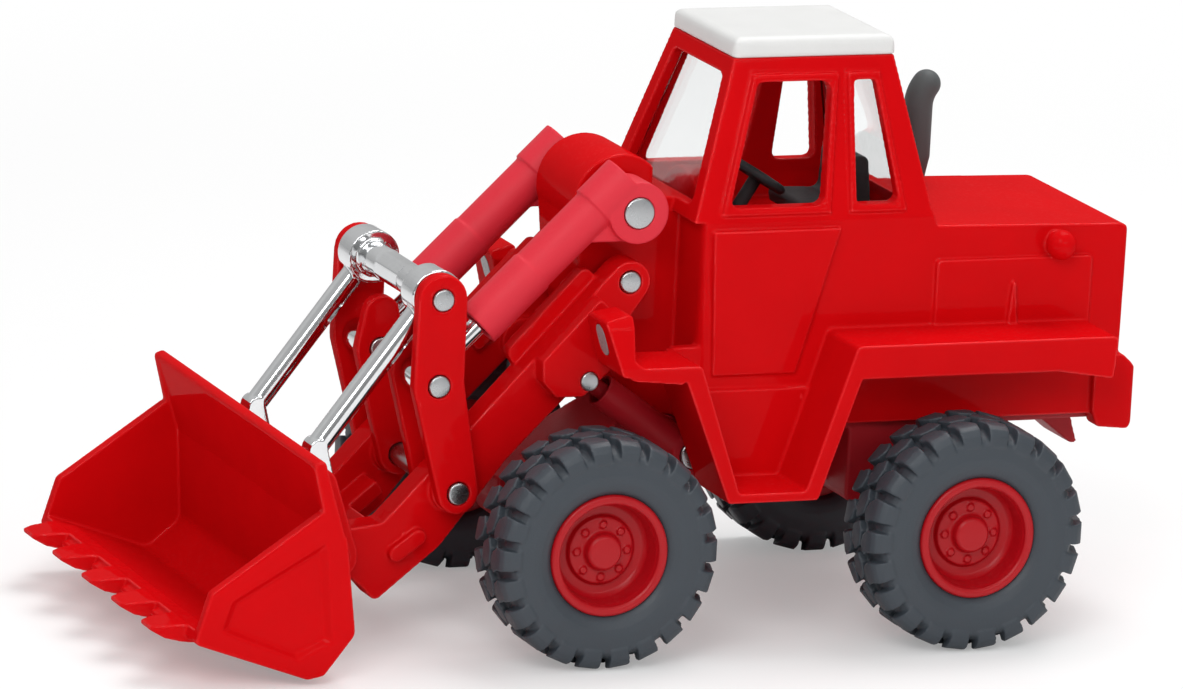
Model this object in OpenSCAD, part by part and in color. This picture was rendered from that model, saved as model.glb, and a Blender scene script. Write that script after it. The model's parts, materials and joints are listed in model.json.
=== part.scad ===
// Toy front loader, about 1:50, in millimetres.
// Vehicle axes: +X to the bucket, +Y to the driver's left, +Z up, ground at Z = 0.
// Sizes along X are measured from the middle of the wheelbase, and frame() then
// centres the whole length on the origin.

/* [Wheels] */
// Distance between the front and rear axles
wheelbase = 37.2; // [35:0.1:40]
// Outside diameter of a tyre
tyre_d = 22; // [20.5:0.1:23]
// Width of a tyre
tyre_w = 7; // [6.4:0.1:7.6]
// Width over the outer faces of the tyres
track_w = 46; // [45:0.1:49]
// Lugs in one row of the tread
lug_count = 22; // [16:1:26]
// Height of a tread lug
lug_h = 0.9; // [0.5:0.05:1.1]
// Diameter over the lip of a rim
rim_d = 11.6; // [10.6:0.1:12.4]
// Diameter of the dished opening of a rim
rim_mouth_d = 9.6; // [8.8:0.1:9.9]
// Diameter of an axle
axle_d = 2; // [1.6:0.1:2.4]

/* [Cab and bonnet] */
// Half width of the cab below the windows
cab_half_w = 11; // [10.4:0.1:11.6]
// Half width of the cab at the roof
cab_top_half_w = 7.6; // [7:0.1:8.4]
// Height of the belt line under the windows
belt_z = 39.5; // [38.5:0.1:41]
// Height of the top of the cab casting
cab_top_z = 54.5; // [52:0.1:57]
// Wall of the body casting
wall = 1.2; // [0.9:0.05:1.5]
// Length of the bonnet behind the cab
bonnet_l = 20.4; // [18:0.1:23]
// Height of the bonnet's top
bonnet_z = 38.6; // [37.5:0.1:39.2]
// Height of the lower edge of the body casting
sill_z = 19.8; // [19:0.1:20.6]
// Thickness of the roof panel
roof_t = 1.9; // [1.4:0.1:2.6]
// Overhang of the roof panel past the cab
roof_over = 0.25; // [0:0.05:0.6]
// Thickness of the clear glazing insert
glass_t = 0.9; // [0.6:0.05:1.1]
// Height of the exhaust stack above the bonnet
exhaust_h = 11; // [8:0.1:14]

/* [Fenders] */
// Half width over the fenders
fender_half_w = 18.5; // [17.5:0.1:19.5]
// Height of the rear fender's top
rear_fender_z = 29; // [28:0.1:30.5]
// Height of the front fender's top
front_fender_z = 27.7; // [26.5:0.1:28.5]
// Height of the step between the fenders
step_z = 15.25; // [14.4:0.05:16]
// Depth of the rear fender's side face
fender_lip = 3.2; // [2.4:0.1:3.6]

/* [Loader linkage] */
// Lift arm pivot ahead of the middle of the wheelbase
arm_x = 12.6; // [12:0.1:13.2]
// Lift arm pivot height
arm_z = 33.8; // [33.3:0.1:34.2]
// Tilt cylinder pivot height above the lift arm pivot
tower_rise = 6.7; // [6.5:0.1:7.2]
// Straight distance from the lift arm pivot to the lever's base pin
arm_reach = 25.6; // [25.2:0.1:26]
// Distance from the lever's base pin to its middle pin
lever_mid = 10.6; // [10.3:0.1:10.9]
// Distance from the lever's middle pin to its top pin
lever_upper = 8.2; // [7.8:0.1:8.8]
// Thickness of a lift arm plate
arm_t = 3.2; // [2.8:0.1:3.4]
// Thickness of a lever plate
lever_t = 1.4; // [1.1:0.1:1.7]
// Sideways distance of an arm plate from the centre
arm_y = 7.8; // [7.6:0.1:8]
// Outside diameter of a tilt cylinder barrel
barrel_d = 4.4; // [4.2:0.1:4.5]
// Diameter of a tilt cylinder rod
rod_d = 1.8; // [1.5:0.1:1.9]
// Diameter of the lever and arm pins
pin_d = 2.1; // [1.8:0.1:2.2]
// Diameter of the pin through the tower
tower_pin_d = 3; // [2.6:0.1:3.2]
// Diameter of the chrome tilt link's rods
link_d = 2.2; // [1.9:0.1:2.4]

/* [Bucket] */
// Width of the bucket
bucket_w = 45; // [42:0.1:48]
// Plate thickness of the bucket
bucket_t = 1.2; // [1:0.05:1.5]
// Number of teeth
tooth_count = 5; // [3:1:7]
// Length of a tooth past the cutting edge
tooth_l = 3; // [2:0.1:4]
// Width of a tooth
tooth_w = 3.4; // [2.4:0.1:4.2]

/* [Fits] */
// Radial clearance of a pin that turns in its hole
run_fit = 0.06; // [0.03:0.01:0.1]
// Gap between seated pieces of one body
seat_gap = 0.02; // [0.01:0.01:0.04]
// Side gap between plates that swing past each other
side_gap = 0.2; // [0.1:0.05:0.25]
// Radial play of a cylinder rod inside its barrel
rod_play = 0.62; // [0.6:0.01:0.66]
// Radial play of a lift cylinder rod inside its barrel
lift_play = 0.5; // [0.46:0.01:0.56]
// Radial play of the tilt link's foot on its bucket pin
foot_play = 0.5; // [0.48:0.01:0.6]

/* [Hidden] */
$fn = 48;
eps = 0.01;

// Colours
paint = "#cc060c";
plastic_red = "#b01a26";
barrel_red = "#d23444";
rubber = "#32373b";
steel = "#c9cdd0";
chrome = "#e4e8ea";
dark_grey = "#3c4042";

// Wheels
tyre_r = tyre_d / 2;
axle_z = tyre_r;
front_axle_x = wheelbase / 2;
rear_axle_x = -wheelbase / 2;
wheel_y = track_w / 2 - tyre_w / 2;
rim_r = rim_d / 2;
bead_depth = 0.45;
rim_half_w = tyre_w / 2 - 0.45;
hub_face = 0.75;
axle_end = 0.95;

// Cab and bonnet
cab_front_x = 6.1;
screen_foot_x = 7.1;
screen_head_x = 2.6;
cab_rear_x = -17.3;
cab_rear_head_x = -13.7;
bonnet_rear_x = cab_rear_x - bonnet_l;
body_rear_x = bonnet_rear_x - 1.3;
cab_floor_z = 37.2;
cavity_half_w = cab_half_w - wall;
roof_top_z = cab_top_z + roof_t;
bonnet_half_w = cab_half_w + 0.35;
panel_proud = 0.25;

// Fenders
fender_in_y = cab_half_w - 0.3;
ledge_t = 1.2;
front_leg_top_x = 8.65;
front_leg_foot_x = 4.2;
rear_leg_top_x = -7;
rear_leg_foot_x = -2.5;
front_fender_x = 15.6;
rear_fender_x = -33.8;

// Linkage pivots, each as [x, z]
arm_slope = 48.2;
lever_lean = 13.1;
pivot_arm = [arm_x, arm_z];
pivot_tower = [arm_x - 0.3, arm_z + tower_rise];
pivot_base = pivot_arm + arm_reach * [cos(arm_slope), -sin(arm_slope)];
pivot_mid = pivot_base + lever_mid * [sin(lever_lean), cos(lever_lean)];
pivot_top = pivot_mid + [0, lever_upper];
pivot_hinge = pivot_base + [11.4, -5.8];
pivot_foot = pivot_hinge + [1.9, 6.9];
pivot_lift = pivot_arm + [4.4, -8.9];
pivot_lift_base = [5.4, 16.9];

// Linkage plates across the width
arm_in_y = arm_y - arm_t / 2;
arm_out_y = arm_y + arm_t / 2;
lever_out_y = arm_y + barrel_d / 2 + side_gap;
lever_in_y = arm_y - barrel_d / 2 - side_gap;
lever_top_y = lever_out_y + lever_t;
pin_end_y = lever_top_y + 0.15;
tower_half_w = lever_in_y - lever_t + 1;
lug_gap_y = arm_t / 2 + side_gap;
lug_t = 1.2;
pin_hole_d = pin_d + 2 * run_fit;

// Tilt cylinders: the barrel's axis passes above the tower pin
barrel_offset = 2.7;
barrel_reach = norm(pivot_mid - pivot_tower);
barrel_slope = atan2(pivot_tower[1] - pivot_mid[1], pivot_mid[0] - pivot_tower[0])
    + asin(barrel_offset / barrel_reach);
rod_reach = sqrt(pow(barrel_reach, 2) - pow(barrel_offset, 2));
barrel_mouth = rod_reach - 6.9;
barrel_step = barrel_mouth - 7.2;
barrel_head = 2.6;
barrel_tail = -1.6;
barrel_waist_d = barrel_d - 0.25;
barrel_head_d = barrel_d + 0.2;
barrel_bore_s = 2;
barrel_bore_d = rod_d + 2 * rod_play;
rod_l = 17;
rod_eye_d = 3.4;
mid_pin_d = pin_d;

// Lift cylinders
lift_inset = 2.95;
lift_y = cab_half_w - lift_inset;
lift_d = 3.2;
lift_rod_d = 1.6;
lift_pin_d = 1.8;
lift_base_pin_d = 2.6;
lift_reach = norm(pivot_lift - pivot_lift_base);
lift_slope = atan2(pivot_lift[1] - pivot_lift_base[1], pivot_lift[0] - pivot_lift_base[0]);
lift_barrel_l = 11.2;
lift_rod_l = 11.7;
lift_eye_t = 2.2;
lift_cheek_y = lift_y + lift_eye_t / 2 + side_gap;
lift_pocket_y = lift_y - lift_eye_t / 2 - side_gap;
lobe_t = 2.05;
lobe_out_y = lift_cheek_y + lobe_t;
lobe_root_y = min(lift_cheek_y, arm_out_y - eps);
lobe_in_y = arm_in_y - 0.7;

// Chassis
chassis_half_w = cavity_half_w - 0.1;
chassis_top_z = sill_z + 0.8;
spine_half_w = 5.2;
bearing_y = 12.6;
bearing_r = 2.2;
post_front_x = 1.5;
post_rear_x = -29;
post_d = 4.4;
screw_d = 1.8;
screw_head_d = 3.4;
chassis_floor_z = 13;

// Bucket outline, each point as [x, z], and what follows from it
bucket_half_w = bucket_w / 2;
heel = pivot_hinge + [6.8, -8.3];
heel_back = pivot_hinge + [5.2, -8];
back_low = pivot_hinge + [2.3, -4.2];
back_bend = pivot_hinge + [3.5, 4.9];
back_top = pivot_hinge + [6, 12.4];
lip = pivot_hinge + [17.9, -4.4];
cheek_top = pivot_hinge + [16.5, 0.3];
cheek_back = pivot_hinge + [6.2, 7.4];
tooth_tip_x = lip[0] + tooth_l;

// The whole length, centred by frame()
mid_x = (tooth_tip_x + body_rear_x) / 2;

// Places the vehicle's own axes in the part's frame
module frame() {
    translate([-mid_x, 0, 0])
        children();
}

// A shape and its mirror image on the other side
module both_sides() {
    children();
    mirror([0, 1, 0])
        children();
}

// Extrudes an outline in x and z across the width, from y0 to y1
module across(y0, y1) {
    translate([0, y1, 0])
        rotate([90, 0, 0])
            linear_extrude(y1 - y0)
                children();
}

// Extrudes an outline in y and z along the length, from x0 to x1
module along(x0, x1) {
    translate([x0, 0, 0])
        rotate([90, 0, 90])
            linear_extrude(x1 - x0)
                children();
}

// A round pin or bore across the width, at a pivot [x, z]
module pin(at, d, y0, y1) {
    translate([at[0], y0, at[1]])
        rotate([-90, 0, 0])
            cylinder(d = d, h = y1 - y0);
}

// The arc that rounds corner b between a and c
function corner_arc(a, b, c, r, n) =
    let (
        u = (a - b) / norm(a - b),
        v = (c - b) / norm(c - b),
        half = acos(u * v) / 2,
        o = b + (u + v) / norm(u + v) * r / sin(half),
        p = b + u * r / tan(half),
        q = b + v * r / tan(half),
        start = atan2(p[1] - o[1], p[0] - o[0]),
        turn = atan2(q[1] - o[1], q[0] - o[0]) - start,
        sweep = turn > 180 ? turn - 360 : turn < -180 ? turn + 360 : turn
    )
    [for (i = [0 : n]) o + r * [cos(start + sweep * i / n), sin(start + sweep * i / n)]];

// A closed outline with every corner rounded, by one radius or a list of radii
function rounded(points, r, n = 4) =
    let (count = len(points))
    [for (i = [0 : count - 1])
        let (radius = is_list(r) ? r[i] : r)
        each radius > 0
            ? corner_arc(points[(i + count - 1) % count], points[i], points[(i + 1) % count], radius, n)
            : [points[i]]];

// The outline of a bar with round ends of two sizes, its sides tangent to both
function bar_outline(p, rp, q, rq, n = 12) =
    let (
        heading = atan2(q[1] - p[1], q[0] - p[0]),
        spread = acos((rp - rq) / norm(q - p))
    )
    concat(
        [for (i = [0 : n]) let (a = heading - spread + 2 * spread * i / n) q + rq * [cos(a), sin(a)]],
        [for (i = [0 : n]) let (a = heading + spread + (360 - 2 * spread) * i / n) p + rp * [cos(a), sin(a)]]
    );

module bar(p, rp, q, rq) {
    polygon(bar_outline(p, rp, q, rq));
}

// The tapered upper cab, drawn in by an inset on all four sides
module cab_taper(inset, z0, z1) {
    function at_height(foot, head, z) = foot + (head - foot) * (z - belt_z) / (cab_top_z - belt_z);
    intersection() {
        across(-cab_half_w - 1, cab_half_w + 1)
            polygon([
                [at_height(cab_rear_x, cab_rear_head_x, z0) + inset, z0],
                [at_height(screen_foot_x, screen_head_x, z0) - inset, z0],
                [at_height(screen_foot_x, screen_head_x, z1) - inset, z1],
                [at_height(cab_rear_x, cab_rear_head_x, z1) + inset, z1]
            ]);
        along(cab_rear_x - 3, screen_foot_x + 3)
            polygon([
                [-at_height(cab_half_w, cab_top_half_w, z0) + inset, z0],
                [at_height(cab_half_w, cab_top_half_w, z0) - inset, z0],
                [at_height(cab_half_w, cab_top_half_w, z1) - inset, z1],
                [-at_height(cab_half_w, cab_top_half_w, z1) + inset, z1]
            ]);
    }
}

// Window outlines: the sides in x and z, the ends in y and z
window_low = belt_z + 1.4;
window_high = cab_top_z - 2.2;
door_window = rounded([[0.4, window_high], [3.6, window_low], [-6, window_low], [-7.2, window_high]],
    [0.9, 0.7, 1, 1]);
rear_quarter = rounded([[-9.2, window_high], [-9.1, window_low], [-13.7, window_low],
    [-11.7, window_high]], [0.7, 0.9, 0.8, 0.7]);
end_window_foot = cab_half_w - 2.2;
end_window_head = cab_top_half_w - 1.5;
end_window = rounded([[-end_window_foot, window_low], [end_window_foot, window_low],
    [end_window_head, window_high + 0.5], [-end_window_head, window_high + 0.5]], 0.8);

// The middle of an outline's box, and the outline grown about it
function outline_middle(points) = [for (i = [0, 1])
    (max([for (p = points) p[i]]) + min([for (p = points) p[i]])) / 2];
function grown(points, share) = [for (p = points) p + (p - outline_middle(points)) * share];

// The raised bead round an opening on the cab's sides
module side_bead(outline) {
    intersection() {
        cab_taper(-0.25, belt_z, cab_top_z);
        across(-cab_half_w - 1, cab_half_w + 1)
            polygon(grown(outline, 0.13));
    }
}

// The lower cab and the bonnet, rounded along all their edges
module lower_body() {
    plan = rounded([[bonnet_rear_x, -bonnet_half_w], [cab_front_x, -bonnet_half_w],
        [cab_front_x, bonnet_half_w], [bonnet_rear_x, bonnet_half_w]], 1.1);
    intersection() {
        across(-bonnet_half_w, bonnet_half_w)
            polygon(rounded([[bonnet_rear_x + 0.5, sill_z], [cab_front_x, sill_z], [cab_front_x, belt_z + 0.5],
                [cab_rear_x, belt_z + 0.5], [cab_rear_x - 0.4, bonnet_z],
                [bonnet_rear_x, bonnet_z - 0.4]], [0, 0, 0, 0, 0, 0.9]));
        along(bonnet_rear_x - 1, cab_front_x + 1)
            polygon(rounded([[-bonnet_half_w, sill_z], [bonnet_half_w, sill_z],
                [bonnet_half_w - 0.35, bonnet_z - 3.2], [bonnet_half_w - 0.35, belt_z + 0.5],
                [-bonnet_half_w + 0.35, belt_z + 0.5], [-bonnet_half_w + 0.35, bonnet_z - 3.2]],
                [0, 0, 0, 0.5, 0.5, 0]));
        translate([0, 0, sill_z])
            linear_extrude(belt_z - sill_z + 1)
                polygon(plan);
    }
}

// The door skin and the bonnet's side panel, proud of both flanks
module flank_panels() {
    both_sides() {
        across(cab_half_w, cab_half_w + panel_proud)
            polygon(rounded([[5.5, belt_z - 0.7], [4.75, 25], [-3.7, 25], [-7.6, belt_z - 0.7]], 0.4));
        across(bonnet_half_w - 0.5, bonnet_half_w + 0.2)
            polygon(rounded([[cab_rear_x - 0.4, bonnet_z - 3.3], [rear_fender_x, bonnet_z - 3.3],
                [rear_fender_x, rear_fender_z - 0.5], [cab_rear_x - 0.4, rear_fender_z - 0.5]], 0.4));
        across(bonnet_half_w - 0.5, bonnet_half_w + 0.7)
            bar([-25.6, rear_fender_z], 0.5, [-25.6, rear_fender_z + 3.9], 0.18);
    }
}

// The panel that closes the flank between the two fender legs
module leg_panel() {
    across(cavity_half_w, cab_half_w)
        polygon([[front_leg_top_x, front_fender_z], [front_leg_foot_x, step_z - 0.8],
            [rear_leg_foot_x, step_z - 0.8], [rear_leg_top_x, rear_fender_z - 1]]);
}

// One fender ledge: front fender, leg, step, leg and rear fender as one bent band
module fender_band() {
    outer = [[front_fender_x, front_fender_z], [front_leg_top_x, front_fender_z],
        [front_leg_foot_x, step_z], [rear_leg_foot_x, step_z], [rear_leg_top_x, rear_fender_z],
        [rear_fender_x, rear_fender_z]];
    under = [[rear_fender_x, rear_fender_z - ledge_t], [rear_leg_top_x - 1.3, rear_fender_z - ledge_t],
        [rear_leg_foot_x - 1.3, step_z - 0.9], [front_leg_foot_x + 1.1, step_z - 0.9],
        [front_leg_top_x + 1.6, front_fender_z - ledge_t], [front_fender_x, front_fender_z - ledge_t]];
    difference() {
        across(fender_in_y, fender_half_w)
            polygon(rounded(concat(outer, under), [0, 0.5, 0.4, 0.4, 0.6, 0.5, 0.3, 0.6, 0.4, 0.4, 0.5, 0]));
        translate([front_leg_top_x + 0.7, 0, front_fender_z - 8])
            cube([10, lobe_out_y + 0.3, 10]);
    }
    across(fender_half_w - wall, fender_half_w)
        polygon(rounded([[rear_leg_top_x - 0.2, rear_fender_z - 0.3], [rear_fender_x, rear_fender_z - 0.3],
            [rear_fender_x + 0.3, rear_fender_z - fender_lip - 0.9],
            [rear_fender_x + 6, rear_fender_z - fender_lip], [rear_leg_top_x - 0.6, rear_fender_z - fender_lip]],
            [0, 0, 0.3, 1.5, 0.3]));
    across(fender_half_w - wall, fender_half_w)
        polygon([[front_fender_x, front_fender_z - 0.3], [front_fender_x, front_fender_z - 1.2],
            [front_leg_top_x + 1.9, front_fender_z - 1.7], [front_leg_top_x + 0.5, front_fender_z - 0.3]]);
}

// The headlight box at the front end of a front fender
lamp_in_y = 12.2;
lamp_top_z = front_fender_z + 4.9;
lamp_nose = [[front_fender_x - 0.3, lamp_top_z], [front_fender_x + 2.6, lamp_top_z - 0.6],
    [front_fender_x + 1, front_fender_z - 0.8], [front_fender_x - 1.2, front_fender_z - 1.1],
    [front_fender_x - 1.2, front_fender_z], [front_fender_x - 0.3, front_fender_z + 0.6]];
module lamp_box() {
    intersection() {
        across(lamp_in_y, fender_half_w)
            polygon(rounded(lamp_nose, [0.4, 0.4, 0.5, 0, 0, 0.5]));
        along(front_fender_x - 3, front_fender_x + 4)
            polygon(rounded([[lamp_in_y, front_fender_z - 2], [fender_half_w, front_fender_z - 2],
                [fender_half_w, front_fender_z], [fender_half_w - 0.8, lamp_top_z - 1.2],
                [fender_half_w - 1.6, lamp_top_z + 0.2], [lamp_in_y + 1.3, lamp_top_z + 0.2],
                [lamp_in_y, lamp_top_z - 1.4]], [0, 0, 0.4, 0.4, 0.4, 0.4, 0.4]));
    }
}

// The tower that carries the arm pin and the tilt cylinder pin
tower_lobe_r = 4.6;
module tower() {
    across(-tower_half_w, tower_half_w) {
        translate(pivot_tower)
            circle(tower_lobe_r);
        polygon([[cab_front_x - wall, sill_z], [cab_front_x + 4.5, sill_z], pivot_arm + [0.2, -8.5],
            pivot_arm + [3.2, -3], pivot_tower + tower_lobe_r * [cos(-20), sin(-20)],
            pivot_tower + tower_lobe_r * [cos(100), sin(100)], [cab_front_x - wall, belt_z + 1.2]]);
    }
}

// The rear counterweight below the bonnet
module counterweight() {
    intersection() {
        across(-cab_half_w - 1, cab_half_w + 1)
            polygon(rounded([[bonnet_rear_x + 3.2, 25.6], [bonnet_rear_x + 0.2, 25.6], [body_rear_x, 24.2],
                [body_rear_x, 18.2], [bonnet_rear_x + 2.6, 18.6], [bonnet_rear_x + 3.2, sill_z + 0.5]],
                [0, 0.5, 0.5, 0.9, 0.5, 0]));
        translate([0, 0, sill_z - 3])
            linear_extrude(12)
                polygon(rounded([[bonnet_rear_x + 5, -cab_half_w - 1], [body_rear_x, -cab_half_w - 1],
                    [body_rear_x, cab_half_w + 1], [bonnet_rear_x + 5, cab_half_w + 1]], [0, 1, 1, 0]));
    }
}

// The inside of the cab, open through the windows
module cab_room() {
    cab_taper(wall, belt_z, cab_top_z + eps);
    translate([cab_rear_x + wall, -cavity_half_w, cab_floor_z])
        cube([cab_front_x - cab_rear_x - 2 * wall, 2 * cavity_half_w, belt_z - cab_floor_z + eps]);
}

// The space under the cab floor and the bonnet
module lower_room() {
    translate([bonnet_rear_x + 1.6, -cavity_half_w, step_z - 3])
        cube([cab_rear_x - bonnet_rear_x - 1.6 + eps, 2 * cavity_half_w, bonnet_z - wall - step_z + 2.6]);
    translate([cab_rear_x, -cavity_half_w, step_z - 3])
        cube([cab_front_x - wall - cab_rear_x, 2 * cavity_half_w, cab_floor_z - wall - step_z + 3]);
}

// The hump over the gearbox in front of the driver's feet
module dash_hump() {
    translate([cab_front_x - wall - 4, 0, cab_floor_z - 0.3])
        rotate([0, 90, 0])
            cylinder(r = 5.6, h = 2.7);
}

module body_shell() {
    color(paint)
        frame()
            difference() {
                union() {
                    difference() {
                        union() {
                            lower_body();
                            cab_taper(0, belt_z, cab_top_z);
                            for (outline = [door_window, rear_quarter])
                                side_bead(outline);
                            flank_panels();
                            both_sides() {
                                leg_panel();
                                fender_band();
                                lamp_box();
                            }
                            counterweight();
                            tower();
                        }
                        cab_room();
                        lower_room();
                        across(-cab_half_w - 2, cab_half_w + 2) {
                            polygon(door_window);
                            polygon(rear_quarter);
                        }
                        along(cab_rear_x - 2, screen_foot_x + 2)
                            polygon(end_window);
                    }
                    intersection() {
                        dash_hump();
                        translate([0, -cavity_half_w, cab_floor_z - wall])
                            cube([cab_front_x - wall / 2, 2 * cavity_half_w, 12]);
                    }
                    screw_post(post_front_x, cab_floor_z - wall / 2);
                    screw_post(post_rear_x, bonnet_z - wall / 2);
                    fuel_cap();
                }
                pin(pivot_arm, pin_hole_d, -tower_half_w - 1, tower_half_w + 1);
                pin(pivot_tower, tower_pin_d + 2 * run_fit, -tower_half_w - 1, tower_half_w + 1);
                for (x = [post_front_x, post_rear_x])
                    translate([x, 0, chassis_top_z - 1])
                        cylinder(d = screw_d + 2 * seat_gap, h = 6.5);
                translate([exhaust_x, exhaust_y, bonnet_z - 3])
                    cylinder(d = exhaust_foot_d + 2 * seat_gap, h = 5);
                both_sides()
                    lamp_seat(0);
            }
}

// A post inside the casting that the underbody is screwed to
module screw_post(x, top) {
    translate([x, 0, chassis_top_z])
        cylinder(d = post_d, h = top - chassis_top_z);
}

// The ball-shaped filler cap on the left flank of the bonnet
module fuel_cap() {
    translate([-30.1, bonnet_half_w - 0.6, bonnet_z - 2]) {
        rotate([-90, 0, 0])
            cylinder(d = 2.2, h = 1.6);
        translate([0, 1.5, 0])
            sphere(d = 2.9);
    }
}

// A headlight lens, or its shallow seat grown by a gap
lens_tilt = atan2(1.6, lamp_top_z - front_fender_z);
lens_depth = 0.4;
module lamp_seat(gap) {
    translate([front_fender_x + 1.85, (lamp_in_y + fender_half_w) / 2 - 0.3, front_fender_z + 2.1])
        rotate([0, 90 + lens_tilt, 0])
            translate([0, 0, -lens_depth + gap])
                linear_extrude(1)
                    bar([-0.55, 0], 1 - gap, [0.55, 0], 1 - gap);
}

module headlight_lenses() {
    color("#9a9da0")
        frame()
            both_sides()
                intersection() {
                    lamp_seat(seat_gap);
                    across(lamp_in_y, fender_half_w)
                        polygon(rounded(lamp_nose, [0.4, 0.4, 0.5, 0, 0, 0.5]));
                }
}

// The white roof, rounded over all its edges, with a spigot that drops into the cab
module roof_panel() {
    front_x = screen_head_x + roof_over - 0.1;
    rear_x = cab_rear_head_x - roof_over;
    half_w = cab_top_half_w + roof_over;
    color("#f0f0ee")
        frame() {
            intersection() {
                across(-half_w, half_w)
                    polygon(rounded([[rear_x, cab_top_z], [front_x, cab_top_z], [front_x - 0.2, roof_top_z],
                        [rear_x + 0.4, roof_top_z]], [0.2, 0.3, 0.9, 0.9]));
                along(rear_x, front_x)
                    polygon(rounded([[-half_w, cab_top_z], [half_w, cab_top_z], [half_w - 0.35, roof_top_z],
                        [-half_w + 0.35, roof_top_z]], [0.3, 0.3, 0.9, 0.9]));
                translate([0, 0, cab_top_z])
                    linear_extrude(roof_t)
                        polygon(rounded([[rear_x, -half_w], [front_x, -half_w], [front_x, half_w],
                            [rear_x, half_w]], 1));
            }
            cab_taper(wall + 0.1, cab_top_z - 0.5, cab_top_z + 0.3);
        }
}

// One clear piece: windscreen, top and rear pane, standing in the cab
module cab_glazing() {
    color("#dfe8ea", 0.35)
        frame()
            difference() {
                cab_taper(wall + 0.04, belt_z + 0.4, cab_top_z - 0.55);
                cab_room_slice();
            }
}

// What is taken out of the glazing between its panes
module cab_room_slice() {
    function lean(foot, head, z) = foot + (head - foot) * (z - belt_z) / (cab_top_z - belt_z);
    pane = wall + 0.04 + glass_t;
    low = belt_z - 1;
    high = cab_top_z - 0.55 - glass_t;
    across(-cab_half_w - 1, cab_half_w + 1)
        polygon([[lean(cab_rear_x, cab_rear_head_x, low) + pane, low],
            [lean(screen_foot_x, screen_head_x, low) - pane, low],
            [lean(screen_foot_x, screen_head_x, high) - pane, high],
            [lean(cab_rear_x, cab_rear_head_x, high) + pane, high]]);
}

// Driver's seat on the cab floor
seat_rear_x = cab_rear_x + wall + glass_t + 1.2;
module seat() {
    color(dark_grey)
        frame() {
            translate([seat_rear_x + 1.2, -3.2, cab_floor_z])
                cube([5.6, 6.4, 1]);
            across(-3.8, 3.8)
                polygon(rounded([[seat_rear_x, cab_floor_z + 0.9], [seat_rear_x + 7.4, cab_floor_z + 0.9],
                    [seat_rear_x + 7.6, cab_floor_z + 2.4], [seat_rear_x + 2.5, cab_floor_z + 2.2],
                    [seat_rear_x + 2.2, cab_floor_z + 6.7], [seat_rear_x + 0.6, cab_floor_z + 6.7]],
                    [0.3, 0.4, 0.5, 0.8, 0.7, 0.7]));
        }
}

// Steering column and wheel
column_foot = [-1, cab_floor_z];
column_lean = 32;
column_l = 4.6;
column_d = 1.3;
steer_d = 6;
module on_column(distance) {
    translate([column_foot[0], 0, column_foot[1]])
        rotate([0, -column_lean, 0])
            translate([0, 0, distance])
                children();
}

module steering_column() {
    color(dark_grey)
        frame()
            difference() {
                union() {
                    on_column(-2)
                        cylinder(d = column_d, h = column_l + 2);
                    translate([column_foot[0] - 1.4, -1.4, cab_floor_z])
                        cube([2.8, 2.8, 0.8]);
                }
                translate([column_foot[0] - 5, -5, cab_floor_z - 10])
                    cube([10, 10, 10]);
            }
}

module steering_wheel() {
    color(dark_grey)
        frame()
            on_column(column_l + seat_gap) {
                cylinder(d = 2, h = 0.8);
                rotate_extrude()
                    translate([steer_d / 2 - 0.45, 0.45])
                        circle(0.45, $fn = 24);
                for (a = [0, 120, 240])
                    rotate([0, 0, a])
                        translate([0.6, -0.35, 0.15])
                            cube([steer_d / 2 - 1.1, 0.7, 0.5]);
            }
}

// Exhaust stack: foot, flare, silencer, bend and round tip
exhaust_x = -23.4;
exhaust_y = -7.8;
exhaust_foot_d = 1.6;
exhaust_d = 2.8;
exhaust_bend_r = 3.4;
exhaust_bend = 38;
module exhaust_stack() {
    flare_l = 2.6;
    bend_z = exhaust_h - exhaust_bend_r * sin(exhaust_bend) - exhaust_d / 2;
    color("#5f6464")
        frame()
            translate([exhaust_x, exhaust_y, bonnet_z]) {
                translate([0, 0, -2])
                    cylinder(d = exhaust_foot_d, h = 2 + eps);
                translate([0, 0, -0.08])
                    cylinder(d1 = exhaust_foot_d + 0.2, d2 = exhaust_d, h = flare_l + 0.08 + eps);
                translate([0, 0, flare_l])
                    cylinder(d = exhaust_d, h = bend_z - flare_l);
                translate([-exhaust_bend_r, 0, bend_z])
                    rotate([90, 0, 0])
                        rotate_extrude(angle = exhaust_bend)
                            translate([exhaust_bend_r, 0])
                                circle(d = exhaust_d);
                translate([-exhaust_bend_r * (1 - cos(exhaust_bend)), 0,
                    bend_z + exhaust_bend_r * sin(exhaust_bend)])
                    sphere(d = exhaust_d);
            }
}

// Plastic underbody: tub, spine, two axle blocks and the rear hook
module axle_block(x, x0, x1, top, half_w) {
    across(-half_w, half_w)
        polygon(rounded([[x0, top], [x0, axle_z + 1], [x - bearing_r, axle_z - bearing_r],
            [x + bearing_r, axle_z - bearing_r], [x1, axle_z + 1], [x1, top]], [0, 0.5, 0.6, 0.6, 0.5, 0]));
    pin([x, axle_z], 2 * bearing_r, -bearing_y, bearing_y);
}

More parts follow.
